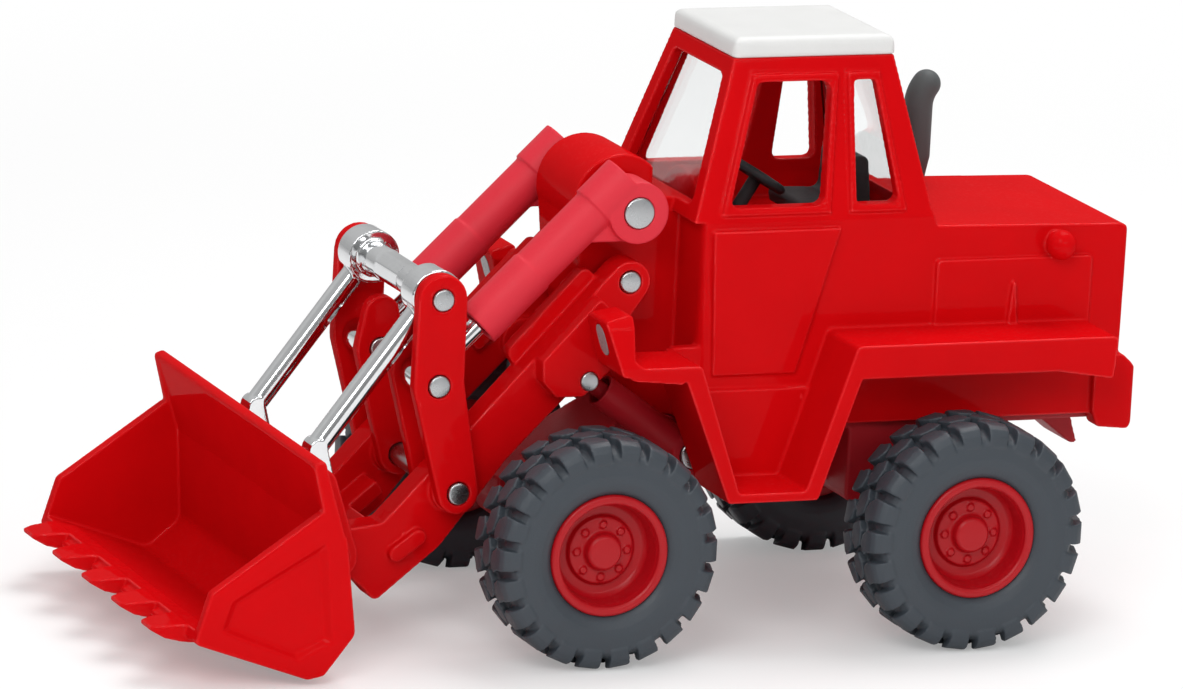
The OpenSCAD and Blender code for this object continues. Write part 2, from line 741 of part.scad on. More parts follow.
module chassis_plate() {
    tail_x = bonnet_rear_x + 1.8;
    color(plastic_red)
        frame()
            difference() {
                union() {
                    translate([tail_x, -chassis_half_w, chassis_top_z - 1.6])
                        cube([cab_front_x - wall - 0.15 - tail_x, 2 * chassis_half_w, 1.6]);
                    axle_block(rear_axle_x, rear_axle_x - 8.2, rear_axle_x + 8.2, chassis_top_z - 1,
                        chassis_half_w);
                    axle_block(front_axle_x, front_axle_x - 6.6, front_axle_x + 4.6, axle_z + 3.4, spine_half_w);
                    translate([rear_axle_x, -spine_half_w, chassis_floor_z])
                        cube([cab_front_x + 3 - rear_axle_x, 2 * spine_half_w, chassis_top_z - 1 - chassis_floor_z]);
                    across(-spine_half_w, spine_half_w)
                        polygon([[cab_front_x - 1, sill_z - 0.02], [cab_front_x - 1, chassis_floor_z],
                            [front_axle_x - 6, axle_z], [front_axle_x + 1.5, axle_z + 3.4],
                            [cab_front_x + 4.5, sill_z - 0.02]]);
                    across(-3, 3)
                        polygon(rounded([[tail_x + 8, chassis_top_z - 1], [tail_x + 8, 17.2], [-33.6, 17.2],
                            [-36.6, 14.8], [-37.4, 14.8], [body_rear_x + 2.4, 17.4],
                            [tail_x + 0.6, chassis_top_z - 1]], [0, 0, 0.3, 0.2, 0.2, 0.2, 0]));
                }
                pin([front_axle_x, axle_z], axle_d + 2 * run_fit, -bearing_y - 1, bearing_y + 1);
                pin([rear_axle_x, axle_z], axle_d + 2 * run_fit, -bearing_y - 1, bearing_y + 1);
                pin(pivot_lift_base, lift_base_pin_d + 2 * seat_gap, -bearing_y, bearing_y);
                for (x = [post_front_x, post_rear_x]) {
                    translate([x, 0, 0])
                        cylinder(d = screw_d + 2 * seat_gap, h = chassis_top_z + 1);
                    translate([x, 0, 0])
                        cylinder(d = screw_head_d + 0.2, h = screw_seat_z(x));
                }
            }
}

// Height at which a screw's head seats in the underbody
function screw_seat_z(x) = x == post_front_x ? chassis_floor_z + 1.2 : chassis_top_z - 1.4;

module chassis_screws() {
    color(steel)
        frame()
            for (x = [post_front_x, post_rear_x])
                translate([x, 0, screw_seat_z(x)])
                    difference() {
                        union() {
                            cylinder(d = screw_d, h = chassis_top_z + 4.5 - screw_seat_z(x));
                            translate([0, 0, -1])
                                cylinder(d = screw_head_d, h = 1);
                        }
                        for (a = [0, 90])
                            rotate([0, 0, a])
                                translate([-0.9, -0.22, -1.5])
                                    cube([1.8, 0.44, 1]);
                    }
}

// Wheels. A wheel is drawn round Z with its outer face up, then turned onto its axle.
module on_axle(x, side) {
    translate([x, side * wheel_y, axle_z])
        rotate([-90 * side, 0, 0])
            children();
}

module axle(x) {
    color(steel)
        frame()
            pin([x, axle_z], axle_d, -wheel_y - axle_end + 0.05, wheel_y + axle_end - 0.05);
}

module rim(x, side) {
    bore_r = axle_d / 2 + seat_gap;
    mouth_r = rim_mouth_d / 2;
    hub_in = wheel_y - bearing_y - 0.3;
    color("#c81423")
        frame()
            on_axle(x, side) {
                rotate_extrude()
                    polygon([[0, axle_end], [bore_r, axle_end], [bore_r, -hub_in], [1.9, -hub_in],
                        [1.9, -1.2], [mouth_r - 0.3, -0.9], [mouth_r, -rim_half_w], [rim_r, -rim_half_w],
                        [rim_r, -rim_half_w + 0.8], [rim_r - bead_depth, -rim_half_w + 1.1],
                        [rim_r - bead_depth, rim_half_w - 1.1], [rim_r, rim_half_w - 0.8],
                        [rim_r, rim_half_w - 0.2], [rim_r - 0.2, rim_half_w], [mouth_r + 0.35, rim_half_w],
                        [mouth_r + 0.1, rim_half_w - 0.2], [mouth_r + 0.1, rim_half_w - 0.5],
                        [mouth_r, rim_half_w - 0.6], [mouth_r - 0.2, 0.75], [mouth_r - 0.6, 0.3],
                        [3.35, 0.2], [3.2, hub_face - 0.1], [3.1, hub_face], [1.95, hub_face],
                        [1.75, hub_face + 0.2], [1.7, hub_face + 0.85], [1.45, hub_face + 1.1],
                        [0, hub_face + 1.15]]);
                for (a = [0 : 45 : 315])
                    rotate([0, 0, a])
                        translate([2.5, 0, hub_face - 0.1])
                            cylinder(d = 0.75, h = 0.4, $fn = 6);
            }
}

// One lug of the tread, from the centre line to the shoulder
module lug() {
    pitch = 360 / lug_count;
    deep = tyre_r - lug_h - 0.4;
    step = PI * tyre_d / lug_count;
    half_w = tyre_w / 2;
    translate([deep, 0, 0])
        rotate([90, 0, 90])
            linear_extrude(lug_h + 1)
                polygon([[-0.42 * step, 0.12], [0.16 * step, 0.3], [0.1 * step, 1.1], [0.42 * step, 1.9],
                    [0.42 * step, half_w + 1], [-0.16 * step, half_w + 1], [-0.16 * step, 2.2],
                    [-0.48 * step, 1.3]]);
}

module tyre(x, side) {
    bead_r = rim_r + seat_gap;
    half_w = tyre_w / 2;
    crown_r = tyre_r - lug_h;
    seat_half_w = rim_half_w - 1.1 - seat_gap;
    pitch = 360 / lug_count;
    color(rubber)
        frame()
            on_axle(x, side) {
                rotate_extrude()
                    polygon(rounded([[bead_r, -rim_half_w + 0.82], [bead_r - bead_depth, -seat_half_w],
                        [bead_r - bead_depth, seat_half_w], [bead_r, rim_half_w - 0.82],
                        [bead_r, rim_half_w - 0.4], [bead_r + 1.9, half_w], [crown_r - 0.9, half_w - 0.15],
                        [crown_r, half_w - 0.9], [crown_r, -half_w + 0.9], [crown_r - 0.9, -half_w + 0.15],
                        [bead_r + 1.9, -half_w], [bead_r, -rim_half_w + 0.4]],
                        [0, 0, 0, 0, 0, 1.6, 1.2, 0.6, 0.6, 1.2, 1.6, 0]));
                intersection() {
                    rotate_extrude()
                        polygon([[crown_r - 1, -half_w], [tyre_r - 0.75, -half_w], [tyre_r - 0.25, -half_w + 0.5],
                            [tyre_r, -half_w + 1.7], [tyre_r, half_w - 1.7], [tyre_r - 0.25, half_w - 0.5],
                            [tyre_r - 0.75, half_w], [crown_r - 1, half_w]]);
                    for (i = [0 : lug_count - 1])
                        rotate([0, 0, i * pitch]) {
                            lug();
                            rotate([0, 0, pitch / 2])
                                mirror([0, 0, 1])
                                    lug();
                        }
                }
            }
}

// Lift arm: two plates, the web between them, pivot bosses and the cylinder lugs
arm_run = pivot_base - pivot_arm;
arm_dir = arm_run / norm(arm_run);
arm_up = [-arm_dir[1], arm_dir[0]];
function on_arm(distance, rise) = pivot_arm + distance * arm_dir + rise * arm_up;
arm_eye_r = 2;
hinge_eye_r = 2.2;

module arm_outline() {
    translate(pivot_arm)
        circle(arm_eye_r);
    polygon(rounded([on_arm(0, arm_eye_r), on_arm(11.6, 2.3), on_arm(24, 2.6), pivot_base + [6.6, -3.1],
        pivot_hinge + [0, hinge_eye_r], pivot_hinge + [1, -1.9], pivot_hinge + [-1.2, -1.8],
        pivot_hinge + [-3, -3.3], pivot_hinge + [-4.4, -4.8], on_arm(30.2, -3.1),
        on_arm(20, -2.4), on_arm(12.2, -2.8), on_arm(8.2, -3.1), on_arm(0, -arm_eye_r)],
        [0, 1, 1.5, 1, 0, 0.2, 0.2, 0.3, 0.6, 1.5, 2, 2, 1.5, 0]));
    translate(pivot_hinge)
        circle(hinge_eye_r);
}

module arm_side() {
    difference() {
        union() {
            across(arm_in_y, arm_out_y)
                arm_outline();
            across(arm_in_y - 0.6, arm_in_y + 1)
                polygon(rounded([on_arm(1.6, 0), on_arm(1.6, 3.6), on_arm(12.6, 3.9), on_arm(13.4, 0)],
                    [0.5, 0.8, 0.8, 0.5]));
            across(lobe_root_y, lobe_out_y)
                polygon(rounded([on_arm(3.2, 2.05), on_arm(11.2, 2.3), on_arm(12.6, 0.9), on_arm(12.8, -1.2),
                    on_arm(11, -3.2), on_arm(6.4, -3.6), on_arm(3.2, -0.6)], 0.4));
            pin(pivot_lift, 4.4, lobe_in_y, arm_in_y + eps);
            pin(pivot_base, 4.2, lever_in_y + side_gap / 2, lever_out_y - side_gap / 2);
            across(arm_out_y - eps, arm_out_y + 0.9)
                bar(pivot_base + [3.2, -4.4], 0.75, pivot_base + [5.3, -5.9], 0.75);
        }
        lift_pocket();
        pin(pivot_arm, pin_hole_d, 0, lever_top_y + 3);
        pin(pivot_base, pin_d + 2 * seat_gap, 0, lever_top_y + 3);
        pin(pivot_hinge, pin_d + 2 * seat_gap, 0, lever_top_y + 3);
        pin(pivot_lift, lift_pin_d + 2 * seat_gap, 0, lever_top_y + 3);
    }
}

// The slot in an arm where the lift cylinder's eye sits between plate and cheek
module lift_pocket() {
    across(lift_pocket_y, lift_cheek_y)
        union() {
            translate(pivot_lift)
                circle(2.1);
            polygon([pivot_lift + [1.1, -1.9], pivot_lift + [-0.9, 2.1], pivot_lift + [-8, -0.5],
                pivot_lift + [-7, -7.5], pivot_lift + [1, -3.9]]);
        }
}

module lift_arm() {
    web_half = arm_in_y + eps;
    color(paint)
        frame() {
            both_sides()
                arm_side();
            difference() {
                across(-web_half, web_half)
                    polygon(rounded([pivot_base + [2.6, -2.2], pivot_base + [8.6, -7.2],
                        pivot_base + [7.8, -8.4], pivot_base + [1.8, -3.4]], 0.3));
                translate([pivot_base[0], -3, pivot_base[1] - 12])
                    cube([5.2, 6, 14]);
            }
        }
}

module lever_base_pin() {
    color(steel)
        frame()
            pin(pivot_base, pin_d, -pin_end_y, pin_end_y);
}

module arm_pivot_pin() {
    color(steel)
        frame()
            pin(pivot_arm, pin_d, -arm_out_y - 0.15, arm_out_y + 0.15);
}

module lift_base_pin() {
    color(steel)
        frame()
            pin(pivot_lift_base, lift_base_pin_d, -lift_y - lift_d / 2 - 0.1, lift_y + lift_d / 2 + 0.1);
}

module bucket_hinge_pins() {
    color(steel)
        frame()
            both_sides()
                pin(pivot_hinge, pin_d, arm_y - lug_gap_y - lug_t - 0.1, arm_y + lug_gap_y + lug_t + 0.1);
}

module lift_rod_pins() {
    color(steel)
        frame()
            both_sides()
                pin(pivot_lift, lift_pin_d, lobe_in_y, lobe_out_y + 0.1);
}

// Tilt lever plates
module lever_outer(side) {
    color(paint)
        frame()
            mirror([0, side < 0 ? 1 : 0, 0])
                difference() {
                    across(lever_out_y, lever_top_y) {
                        bar(pivot_base, 2, pivot_mid, 2.5);
                        bar(pivot_mid, 2.5, pivot_top, 2.4);
                    }
                    lever_bores();
                }
}

module lever_inner(side) {
    color(paint)
        frame()
            mirror([0, side < 0 ? 1 : 0, 0])
                difference() {
                    across(lever_in_y - lever_t, lever_in_y) {
                        bar(pivot_base, 2, pivot_mid, 2.4);
                        bar(pivot_mid, 2.4, pivot_mid + [0, 3.4], 1.7);
                    }
                    lever_bores();
                }
}

module lever_bores() {
    pin(pivot_base, pin_hole_d, 0, lever_top_y + 1);
    pin(pivot_mid, mid_pin_d + 2 * run_fit, 0, lever_top_y + 1);
    pin(pivot_top, pin_d + 2 * seat_gap, 0, lever_top_y + 1);
}

module lever_top_pin() {
    color(steel)
        frame()
            pin(pivot_top, pin_d, -pin_end_y, pin_end_y);
}

module mid_pin(side) {
    color(steel)
        frame()
            mirror([0, side < 0 ? 1 : 0, 0])
                pin(pivot_mid, mid_pin_d, lever_in_y - lever_t - 0.1, pin_end_y);
}

// Puts a shape on a tilt cylinder's axis: x along the rod from the tower, z across it
module on_barrel(side) {
    translate([pivot_tower[0], side * arm_y, pivot_tower[1]])
        rotate([0, barrel_slope, 0])
            children();
}

module along_barrel(d, s0, s1) {
    translate([s0, 0, barrel_offset])
        rotate([0, 90, 0])
            cylinder(d = d, h = s1 - s0);
}

module tilt_barrel(side) {
    eye_r = 2.95;
    half_t = barrel_d / 2;
    color(barrel_red)
        frame()
            difference() {
                union() {
                    on_barrel(side) {
                        along_barrel(barrel_head_d, barrel_tail, barrel_head);
                        along_barrel(barrel_waist_d, barrel_tail + 1, barrel_mouth - 1);
                        along_barrel(barrel_d, barrel_step, barrel_mouth);
                    }
                    translate([0, side * arm_y, 0])
                        across(-half_t, half_t)
                            translate(pivot_tower)
                                circle(eye_r);
                    translate([0, side * arm_y, 0])
                        across(-1.3, 1.3)
                            polygon([pivot_tower + [-1.8, 1.9], pivot_tower + [0, 0.1 - eye_r], pivot_tower + [5.6, 0.1 - eye_r],
                                pivot_tower + [7.8, -3.9], pivot_tower + [2.8, 2.2]]);
                }
                on_barrel(side)
                    along_barrel(barrel_bore_d, barrel_bore_s, barrel_mouth + 1);
                pin(pivot_tower, tower_pin_d + 2 * seat_gap, -20, 20);
            }
}

module tilt_rod(side) {
    eye_half_t = barrel_d / 2 - 0.05;
    color(chrome)
        frame()
            difference() {
                union() {
                    on_barrel(side)
                        along_barrel(rod_d, rod_reach - rod_l, rod_reach);
                    translate([0, side * arm_y, 0])
                        pin(pivot_mid, rod_eye_d, -eye_half_t, eye_half_t);
                }
                translate([0, side * arm_y, 0])
                    pin(pivot_mid, mid_pin_d + 2 * seat_gap, -eye_half_t - 1, eye_half_t + 1);
            }
}

module tower_pin() {
    reach = arm_y + barrel_d / 2 + 0.12;
    color("#8b9296")
        frame()
            pin(pivot_tower, tower_pin_d, -reach, reach);
}

// Chrome tilt link: two rods on a common cross shaft, with rings above and feet below
link_foot = pivot_foot + [0, 3.3];
link_ring_y0 = arm_y - 0.9;
link_ring_y1 = lever_out_y - side_gap / 2;
link_rod_y = (link_ring_y0 + link_ring_y1) / 2;
module tilt_link() {
    ring_r = 2.55;
    foot_hole = pin_d - 0.5 + 2 * foot_play;
    lean = atan2(link_foot[0] - pivot_top[0], pivot_top[1] - link_foot[1]);
    rod_len = norm(link_foot - pivot_top);
    color(chrome)
        frame()
            difference() {
                union() {
                    both_sides() {
                        pin(pivot_top, 2 * ring_r, link_ring_y0, link_ring_y1);
                        translate([pivot_top[0], link_rod_y, pivot_top[1]])
                            rotate([0, 180 - lean, 0])
                                cylinder(d = link_d, h = rod_len);
                        translate([link_foot[0], link_rod_y, link_foot[1]])
                            sphere(d = link_d);
                        across(link_rod_y - link_d / 2, link_rod_y + link_d / 2)
                            bar(pivot_foot, foot_hole / 2 + 0.7, link_foot, link_d / 2);
                    }
                    pin(pivot_top, 3.3, -link_ring_y0 - eps, link_ring_y0 + eps);
                    translate([pivot_top[0], 3, pivot_top[1]])
                        rotate([90, 22.5, 0])
                            cylinder(d = 3.9, h = 6, $fn = 8);
                }
                pin(pivot_top, pin_hole_d, -lever_top_y, lever_top_y);
                pin(pivot_foot, foot_hole, -lever_top_y, lever_top_y);
            }
}

// Bucket: folded floor and back between two cheeks, with teeth and hinge lugs
module bucket_outline() {
    polygon(rounded([heel, heel_back, back_low, back_bend, cheek_back, cheek_top, lip],
        [0.6, 0.6, 1, 0, 0, 0.8, 0.5]));
}

module bucket_tooth() {
    tip_rise = 0.5;
    root = 2.6;
    intersection() {
        across(-tooth_w, tooth_w)
            polygon([lip + [-root, -0.75], lip + [-0.4, -0.35], lip + [tooth_l, tip_rise], lip + [0.1, 1.1],
                lip + [-root, 0.6]]);
        translate([0, 0, lip[1] - 3])
            linear_extrude(8)
                polygon([lip[0] * [1, 0] + [-root, -tooth_w / 2], lip[0] * [1, 0] + [0, -tooth_w / 2],
                    lip[0] * [1, 0] + [tooth_l, -0.35], lip[0] * [1, 0] + [tooth_l, 0.35],
                    lip[0] * [1, 0] + [0, tooth_w / 2], lip[0] * [1, 0] + [-root, tooth_w / 2]]);
    }
}

module bucket_lug(y0) {
    across(y0, y0 + lug_t)
        union() {
            bar(pivot_hinge, 2, back_low + [1.2, 1.6], 2);
            bar(pivot_hinge, 2, pivot_foot, 1.6);
            polygon([pivot_hinge + [0.4, -1.8], pivot_hinge + [2.9, -2.6], back_bend + [0.7, 1],
                pivot_foot + [3, 1.3], pivot_foot + [-0.2, 1.5], pivot_foot + [-1.2, 0]]);
        }
}

module bucket() {
    floor_dir = (lip - heel) / norm(lip - heel);
    floor_up = [-floor_dir[1], floor_dir[0]];
    back_dir = (back_bend - back_low) / norm(back_bend - back_low);
    back_in = [back_dir[1], -back_dir[0]];
    top_dir = (back_top - back_bend) / norm(back_top - back_bend);
    top_in = [top_dir[1], -top_dir[0]];
    inside = rounded([lip + 6 * floor_dir + bucket_t * floor_up, heel + floor_dir + bucket_t * floor_up,
        back_low + bucket_t * back_in + [0.6, 0.2], back_bend + bucket_t * back_in,
        back_top + bucket_t * top_in + 3 * top_dir, back_top + [14, 6]], [0, 1.6, 1.6, 0, 0, 0]);
    tooth_pitch = bucket_w * 0.19;
    color(paint)
        frame()
            difference() {
                union() {
                    difference() {
                        union() {
                            across(-bucket_half_w, bucket_half_w)
                                bucket_outline();
                            both_sides() {
                                bucket_lug(arm_y - lug_gap_y - lug_t);
                                bucket_lug(arm_y + lug_gap_y);
                            }
                            across(-bucket_half_w, bucket_half_w)
                                polygon(rounded([back_bend + [0, -0.6], back_top, back_top + bucket_t * top_in,
                                    back_bend + bucket_t * top_in + [0.4, -0.6]], [0, 0.4, 0.4, 0]));
                        }
                        across(-bucket_half_w + bucket_t, bucket_half_w - bucket_t)
                            polygon(inside);
                    }
                    for (i = [0 : tooth_count - 1])
                        translate([0, (i - (tooth_count - 1) / 2) * tooth_pitch, 0])
                            bucket_tooth();
                    for (i = [0 : tooth_count - 2])
                        translate([0, (i - tooth_count / 2 + 1) * tooth_pitch, 0])
                            across(-1.4, 1.4)
                                polygon([lip + [-2.6, -0.7], lip + [0.55, 0.1], lip + [0.5, 0.5], lip + [-1.2, 0.9],
                                    lip + [-2.6, 0.6]]);
                }
                both_sides()
                    across(bucket_half_w - 0.35, bucket_half_w + 1)
                        polygon(rounded([cheek_back + [-0.6, -3], cheek_top + [-2.2, -0.9], lip + [-2.9, 1.3],
                            heel + [1.2, 2.2], heel_back + [-0.4, 3.4]], [0.8, 0.6, 0.5, 0.8, 0.8]));
                both_sides() {
                    pin(pivot_hinge, pin_hole_d, 1, lever_top_y + 2);
                    pin(pivot_foot, pin_d - 0.5 + 2 * seat_gap, 1, lever_top_y + 2);
                }
            }
}

module bucket_link_pins() {
    color(steel)
        frame()
            both_sides()
                pin(pivot_foot, pin_d - 0.5, arm_y - lug_gap_y - lug_t - 0.1, arm_y + lug_gap_y + lug_t + 0.1);
}

// Lift cylinders, from the underbody to the lugs on the arm
module on_lift(side) {
    translate([pivot_lift_base[0], side * lift_y, pivot_lift_base[1]])
        rotate([0, -lift_slope, 0])
            children();
}

module lift_barrel(side) {
    color(plastic_red)
        frame()
            difference() {
                union() {
                    on_lift(side)
                        rotate([0, 90, 0])
                            cylinder(d = lift_d, h = lift_barrel_l);
                    translate([0, side * lift_y, 0])
                        pin(pivot_lift_base, 4.2, -lift_d / 2, lift_d / 2);
                }
                translate([0, side * lift_y, 0])
                    pin(pivot_lift_base, lift_base_pin_d + 2 * run_fit, -lift_d, lift_d);
                on_lift(side)
                    rotate([0, 90, 0])
                        translate([0, 0, 2.1])
                            cylinder(d = lift_rod_d + 2 * lift_play, h = lift_barrel_l);
            }
}

module lift_rod(side) {
    color(plastic_red)
        frame()
            difference() {
                union() {
                    on_lift(side)
                        translate([lift_reach - lift_rod_l, 0, 0])
                            rotate([0, 90, 0])
                                cylinder(d = lift_rod_d, h = lift_rod_l - 0.5);
                    translate([0, side * lift_y, 0])
                        pin(pivot_lift, 3.4, -lift_eye_t / 2, lift_eye_t / 2);
                }
                translate([0, side * lift_y, 0])
                    pin(pivot_lift, lift_pin_d + 2 * run_fit, -lift_d, lift_d);
            }
}

body_shell();
roof_panel();
cab_glazing();
seat();
steering_column();
steering_wheel();
exhaust_stack();
headlight_lenses();
chassis_plate();
chassis_screws();
arm_pivot_pin();
lift_base_pin();
axle(front_axle_x);  // front_axle
rim(front_axle_x, 1);  // front_left_rim
rim(front_axle_x, -1);  // front_right_rim
tyre(front_axle_x, 1);  // front_left_tyre
tyre(front_axle_x, -1);  // front_right_tyre
axle(rear_axle_x);  // rear_axle
rim(rear_axle_x, 1);  // rear_left_rim
rim(rear_axle_x, -1);  // rear_right_rim
tyre(rear_axle_x, 1);  // rear_left_tyre
tyre(rear_axle_x, -1);  // rear_right_tyre
lift_arm();
lever_base_pin();
bucket_hinge_pins();
lift_rod_pins();
lever_outer(1);  // left_lever_outer
lever_inner(1);  // left_lever_inner
lever_outer(-1);  // right_lever_outer
lever_inner(-1);  // right_lever_inner
lever_top_pin();
mid_pin(1);  // left_mid_pin
mid_pin(-1);  // right_mid_pin
tilt_rod(1);  // left_tilt_rod
tilt_rod(-1);  // right_tilt_rod
tower_pin();
tilt_barrel(1);  // left_tilt_barrel
tilt_barrel(-1);  // right_tilt_barrel
tilt_link();
bucket();
bucket_link_pins();
lift_barrel(1);  // left_lift_barrel
lift_barrel(-1);  // right_lift_barrel
lift_rod(1);  // left_lift_rod
lift_rod(-1);  // right_lift_rod
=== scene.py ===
import json
import math

import bmesh
import bpy
from mathutils import Matrix, Vector


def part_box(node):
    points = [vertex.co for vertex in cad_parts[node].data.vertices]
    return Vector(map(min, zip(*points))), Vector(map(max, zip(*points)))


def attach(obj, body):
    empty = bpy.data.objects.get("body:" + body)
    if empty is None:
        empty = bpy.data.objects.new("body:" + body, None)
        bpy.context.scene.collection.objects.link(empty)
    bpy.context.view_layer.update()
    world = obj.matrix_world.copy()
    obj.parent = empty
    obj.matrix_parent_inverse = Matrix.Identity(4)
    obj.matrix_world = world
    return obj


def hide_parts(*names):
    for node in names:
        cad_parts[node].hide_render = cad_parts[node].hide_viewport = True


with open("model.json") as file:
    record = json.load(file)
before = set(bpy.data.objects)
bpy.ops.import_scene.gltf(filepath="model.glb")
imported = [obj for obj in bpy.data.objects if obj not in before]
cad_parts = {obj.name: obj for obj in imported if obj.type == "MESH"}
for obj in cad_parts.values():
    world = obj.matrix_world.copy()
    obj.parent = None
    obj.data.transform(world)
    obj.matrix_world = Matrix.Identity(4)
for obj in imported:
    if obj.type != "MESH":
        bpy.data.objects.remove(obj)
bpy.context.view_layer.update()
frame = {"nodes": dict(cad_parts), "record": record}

bl_info = {
    "name": "Toy Front Loader",
    "version": (1, 0, 0),
    "blender": (4, 5, 0),
    "location": "View3D > Sidebar > Front Loader",
    "description": "Dresses the solids of a toy front loader and sets up its studio",
    "category": "Object",
}

MM = 0.001
RECORD = frame["record"]
BODY_OF = {node: body for body, nodes in RECORD["behaviour"]["bodies"].items() for node in nodes}
SLOT_OF = {row["node"]: row["material_slot"] for row in RECORD["subparts"]}

CASTINGS = ("body_shell", "lift_arm", "bucket", "left_lever_outer", "left_lever_inner",
            "right_lever_outer", "right_lever_inner")
WHEELS = ("front_left", "front_right", "rear_left", "rear_right")
PINS = ("arm_pivot_pin", "lift_base_pin", "lever_base_pin", "bucket_hinge_pins", "lift_rod_pins",
        "lever_top_pin", "left_mid_pin", "right_mid_pin", "bucket_link_pins", "front_axle", "rear_axle",
        "tower_pin")

# Rounded skins: grid in millimetres, smoothing passes, share of the faces that is kept
ROOF_SKIN = (0.15, 4, 0.2)
SEAT_SKIN = (0.15, 5, 0.2)
TUBE_SKIN = (0.12, 4, 0.2)
LINK_SKIN = (0.11, 4, 0.25)
RIM_SKIN = (0.1, 3, 0.2)
UNDERBODY_SKIN = (0.2, 4, 0.2)
CASTING_PASSES, CASTING_KEEP = 5, 0.13
TYRE_PASSES, TYRE_KEEP = 2, 0.26

# Plain pieces: how near points are joined in millimetres, and turns that count as flat or as sharp
WELD_GAP = 0.002
FLAT_TURN, SHARP_TURN, SHADE_TURN = math.radians(0.5), math.radians(40.0), math.radians(38.0)

# Tyres: steps round the wheel, then in millimetres the root of the tread and the seat on the rim
TYRE_STEPS = 144
TREAD_ROOT = 0.5
BEAD_SEAT, BEAD_SEAT_INSET = 0.4, 1.9

# Teeth in millimetres, and the cross-sections of the tongue over one of them:
# x from the tip, half width, underside and top over the bucket's lip
TOOTH_COUNT, TOOTH_PITCH, BUCKET_LIP_Z = 5, 8.55, 4.52
TONGUE = ((-5.6, 2.2, -0.75, 0.6), (-3.4, 2.3, -0.6, 1.06), (-2.8, 2.3, -0.52, 1.13),
          (-1.3, 2.0, -0.2, 1.0), (-0.4, 1.65, 0.28, 0.9), (0.0, 1.25, 0.48, 0.86))

# A cheek's recess in millimetres: outline in x and z, then its scale and reach past the cheek at both ends
RECESS = ((33.98, 4.02), (37.38, 2.42), (45.08, 5.62), (44.18, 8.42), (34.98, 13.72))
RECESS_ENDS = ((1.05, 0.3), (0.84, -0.62))

# The chrome link in millimetres: axes of its feet and of its cross bar in x and z, a foot's hole,
# where the narrowing round it ends and over what length it fades, and the bar's own size
FOOT_AXIS, BAR_AXIS = (31.48, 15.82), (20.588, 33.24)
FOOT_HOLE_R, FOOT_REACH, FOOT_FADE = 1.32, 5.0, 3.0
FOOT_NARROWING = 0.42
BAR_R, BAR_HALF_L = 1.55, 6.8

# The cab's sides in millimetres, in x and z, with x counted from CAB_DATUM behind the part's origin
CAB_DATUM = 11.4816
CAB_HALF_W, CAB_HEAD_HALF_W, BELT_Z, CAB_TOP_Z = 11.0, 7.6, 39.5, 54.5
TRIM_ROOT = 0.5
DOOR = ((5.3, 38.8), (4.75, 25.0), (-3.7, 25.0), (-7.6, 38.8))
SILL = ((7.6, 23.6), (4.2, 14.8), (-2.5, 14.8), (-5.4, 23.6))
DOOR_FACE_Y, SILL_FACE_Y = 11.68, 11.62
WINDOWS = (((0.55, 52.7), (4.0, 40.5), (-6.35, 40.5), (-7.55, 52.7)),
           ((-9.1, 52.7), (-8.95, 40.5), (-14.0, 40.5), (-11.8, 52.7)))
RIM_HALF_W, RIM_ROOT, RIM_PROUD = 0.3, -0.3, 0.42

# Light panels in metres: place, aim, width and height, and share of the key light's power
PANELS = (("Key Panel", (0.24, 0.36, 0.36), (0.0, 0.0, 0.02), (0.2, 0.3), 1.0),
          ("Top Panel", (-0.16, -0.1, 0.46), (-0.01, 0.0, 0.02), (0.24, 0.3), 1.25),
          ("Front Panel", (-0.12, 0.6, 0.3), (-0.01, 0.0, 0.03), (0.3, 0.2), 0.6),
          ("Left Strip", (0.3, 0.42, 0.3), (0.0, 0.0, 0.02), (0.34, 0.012), 0.12),
          ("Top Strip", (-0.05, 0.12, 0.5), (0.0, 0.0, 0.02), (0.34, 0.012), 0.14))
FLOOR_RADIUS = 4.0

PALE_DUST = (0.5, 0.47, 0.45)
RUBBER_DUST = (0.16, 0.16, 0.165)


# Shader node helpers

def node_of(tree, kind, **values):
    """Adds a node of that kind; values set its own properties or, by name, its input sockets."""
    made = tree.nodes.new(kind)
    for key, value in values.items():
        if hasattr(made, key):
            setattr(made, key, value)
        else:
            made.inputs[key.replace("_", " ").title()].default_value = value
    return made


def new_group(name, inputs, outputs):
    """An empty shader node group with named float inputs and outputs, and its two end nodes."""
    group = bpy.data.node_groups.new(name, "ShaderNodeTree")
    for label, default in inputs:
        socket = group.interface.new_socket(name=label, in_out="INPUT", socket_type="NodeSocketFloat")
        socket.default_value = default
    for label in outputs:
        group.interface.new_socket(name=label, in_out="OUTPUT", socket_type="NodeSocketFloat")
    return group, group.nodes.new("NodeGroupInput"), group.nodes.new("NodeGroupOutput")


def noise_at(group, size_socket, detail, stretch=(1.0, 1.0, 1.0)):
    """Noise whose features have the size given by a socket in millimetres, in the part's own frame."""
    links = group.links
    place = group.nodes.new("ShaderNodeTexCoord")
    scale = node_of(group, "ShaderNodeMath", operation="DIVIDE")
    scale.inputs[0].default_value = 1.0 / MM
    links.new(size_socket, scale.inputs[1])
    spread = node_of(group, "ShaderNodeVectorMath", operation="MULTIPLY")
    spread.inputs[1].default_value = stretch
    links.new(place.outputs["Object"], spread.inputs[0])
    noise = node_of(group, "ShaderNodeTexNoise", detail=detail)
    links.new(spread.outputs[0], noise.inputs["Vector"])
    links.new(scale.outputs[0], noise.inputs["Scale"])
    return noise.outputs["Fac"]


def ranged(tree, source, start, end, low=0.0, high=1.0, kind="LINEAR"):
    """A socket's value, mapped from start and end to low and high."""
    span = node_of(tree, "ShaderNodeMapRange", interpolation_type=kind)
    for label, value in (("From Min", start), ("From Max", end), ("To Min", low), ("To Max", high)):
        span.inputs[label].default_value = value
    tree.links.new(source, span.inputs["Value"])
    return span.outputs[0]


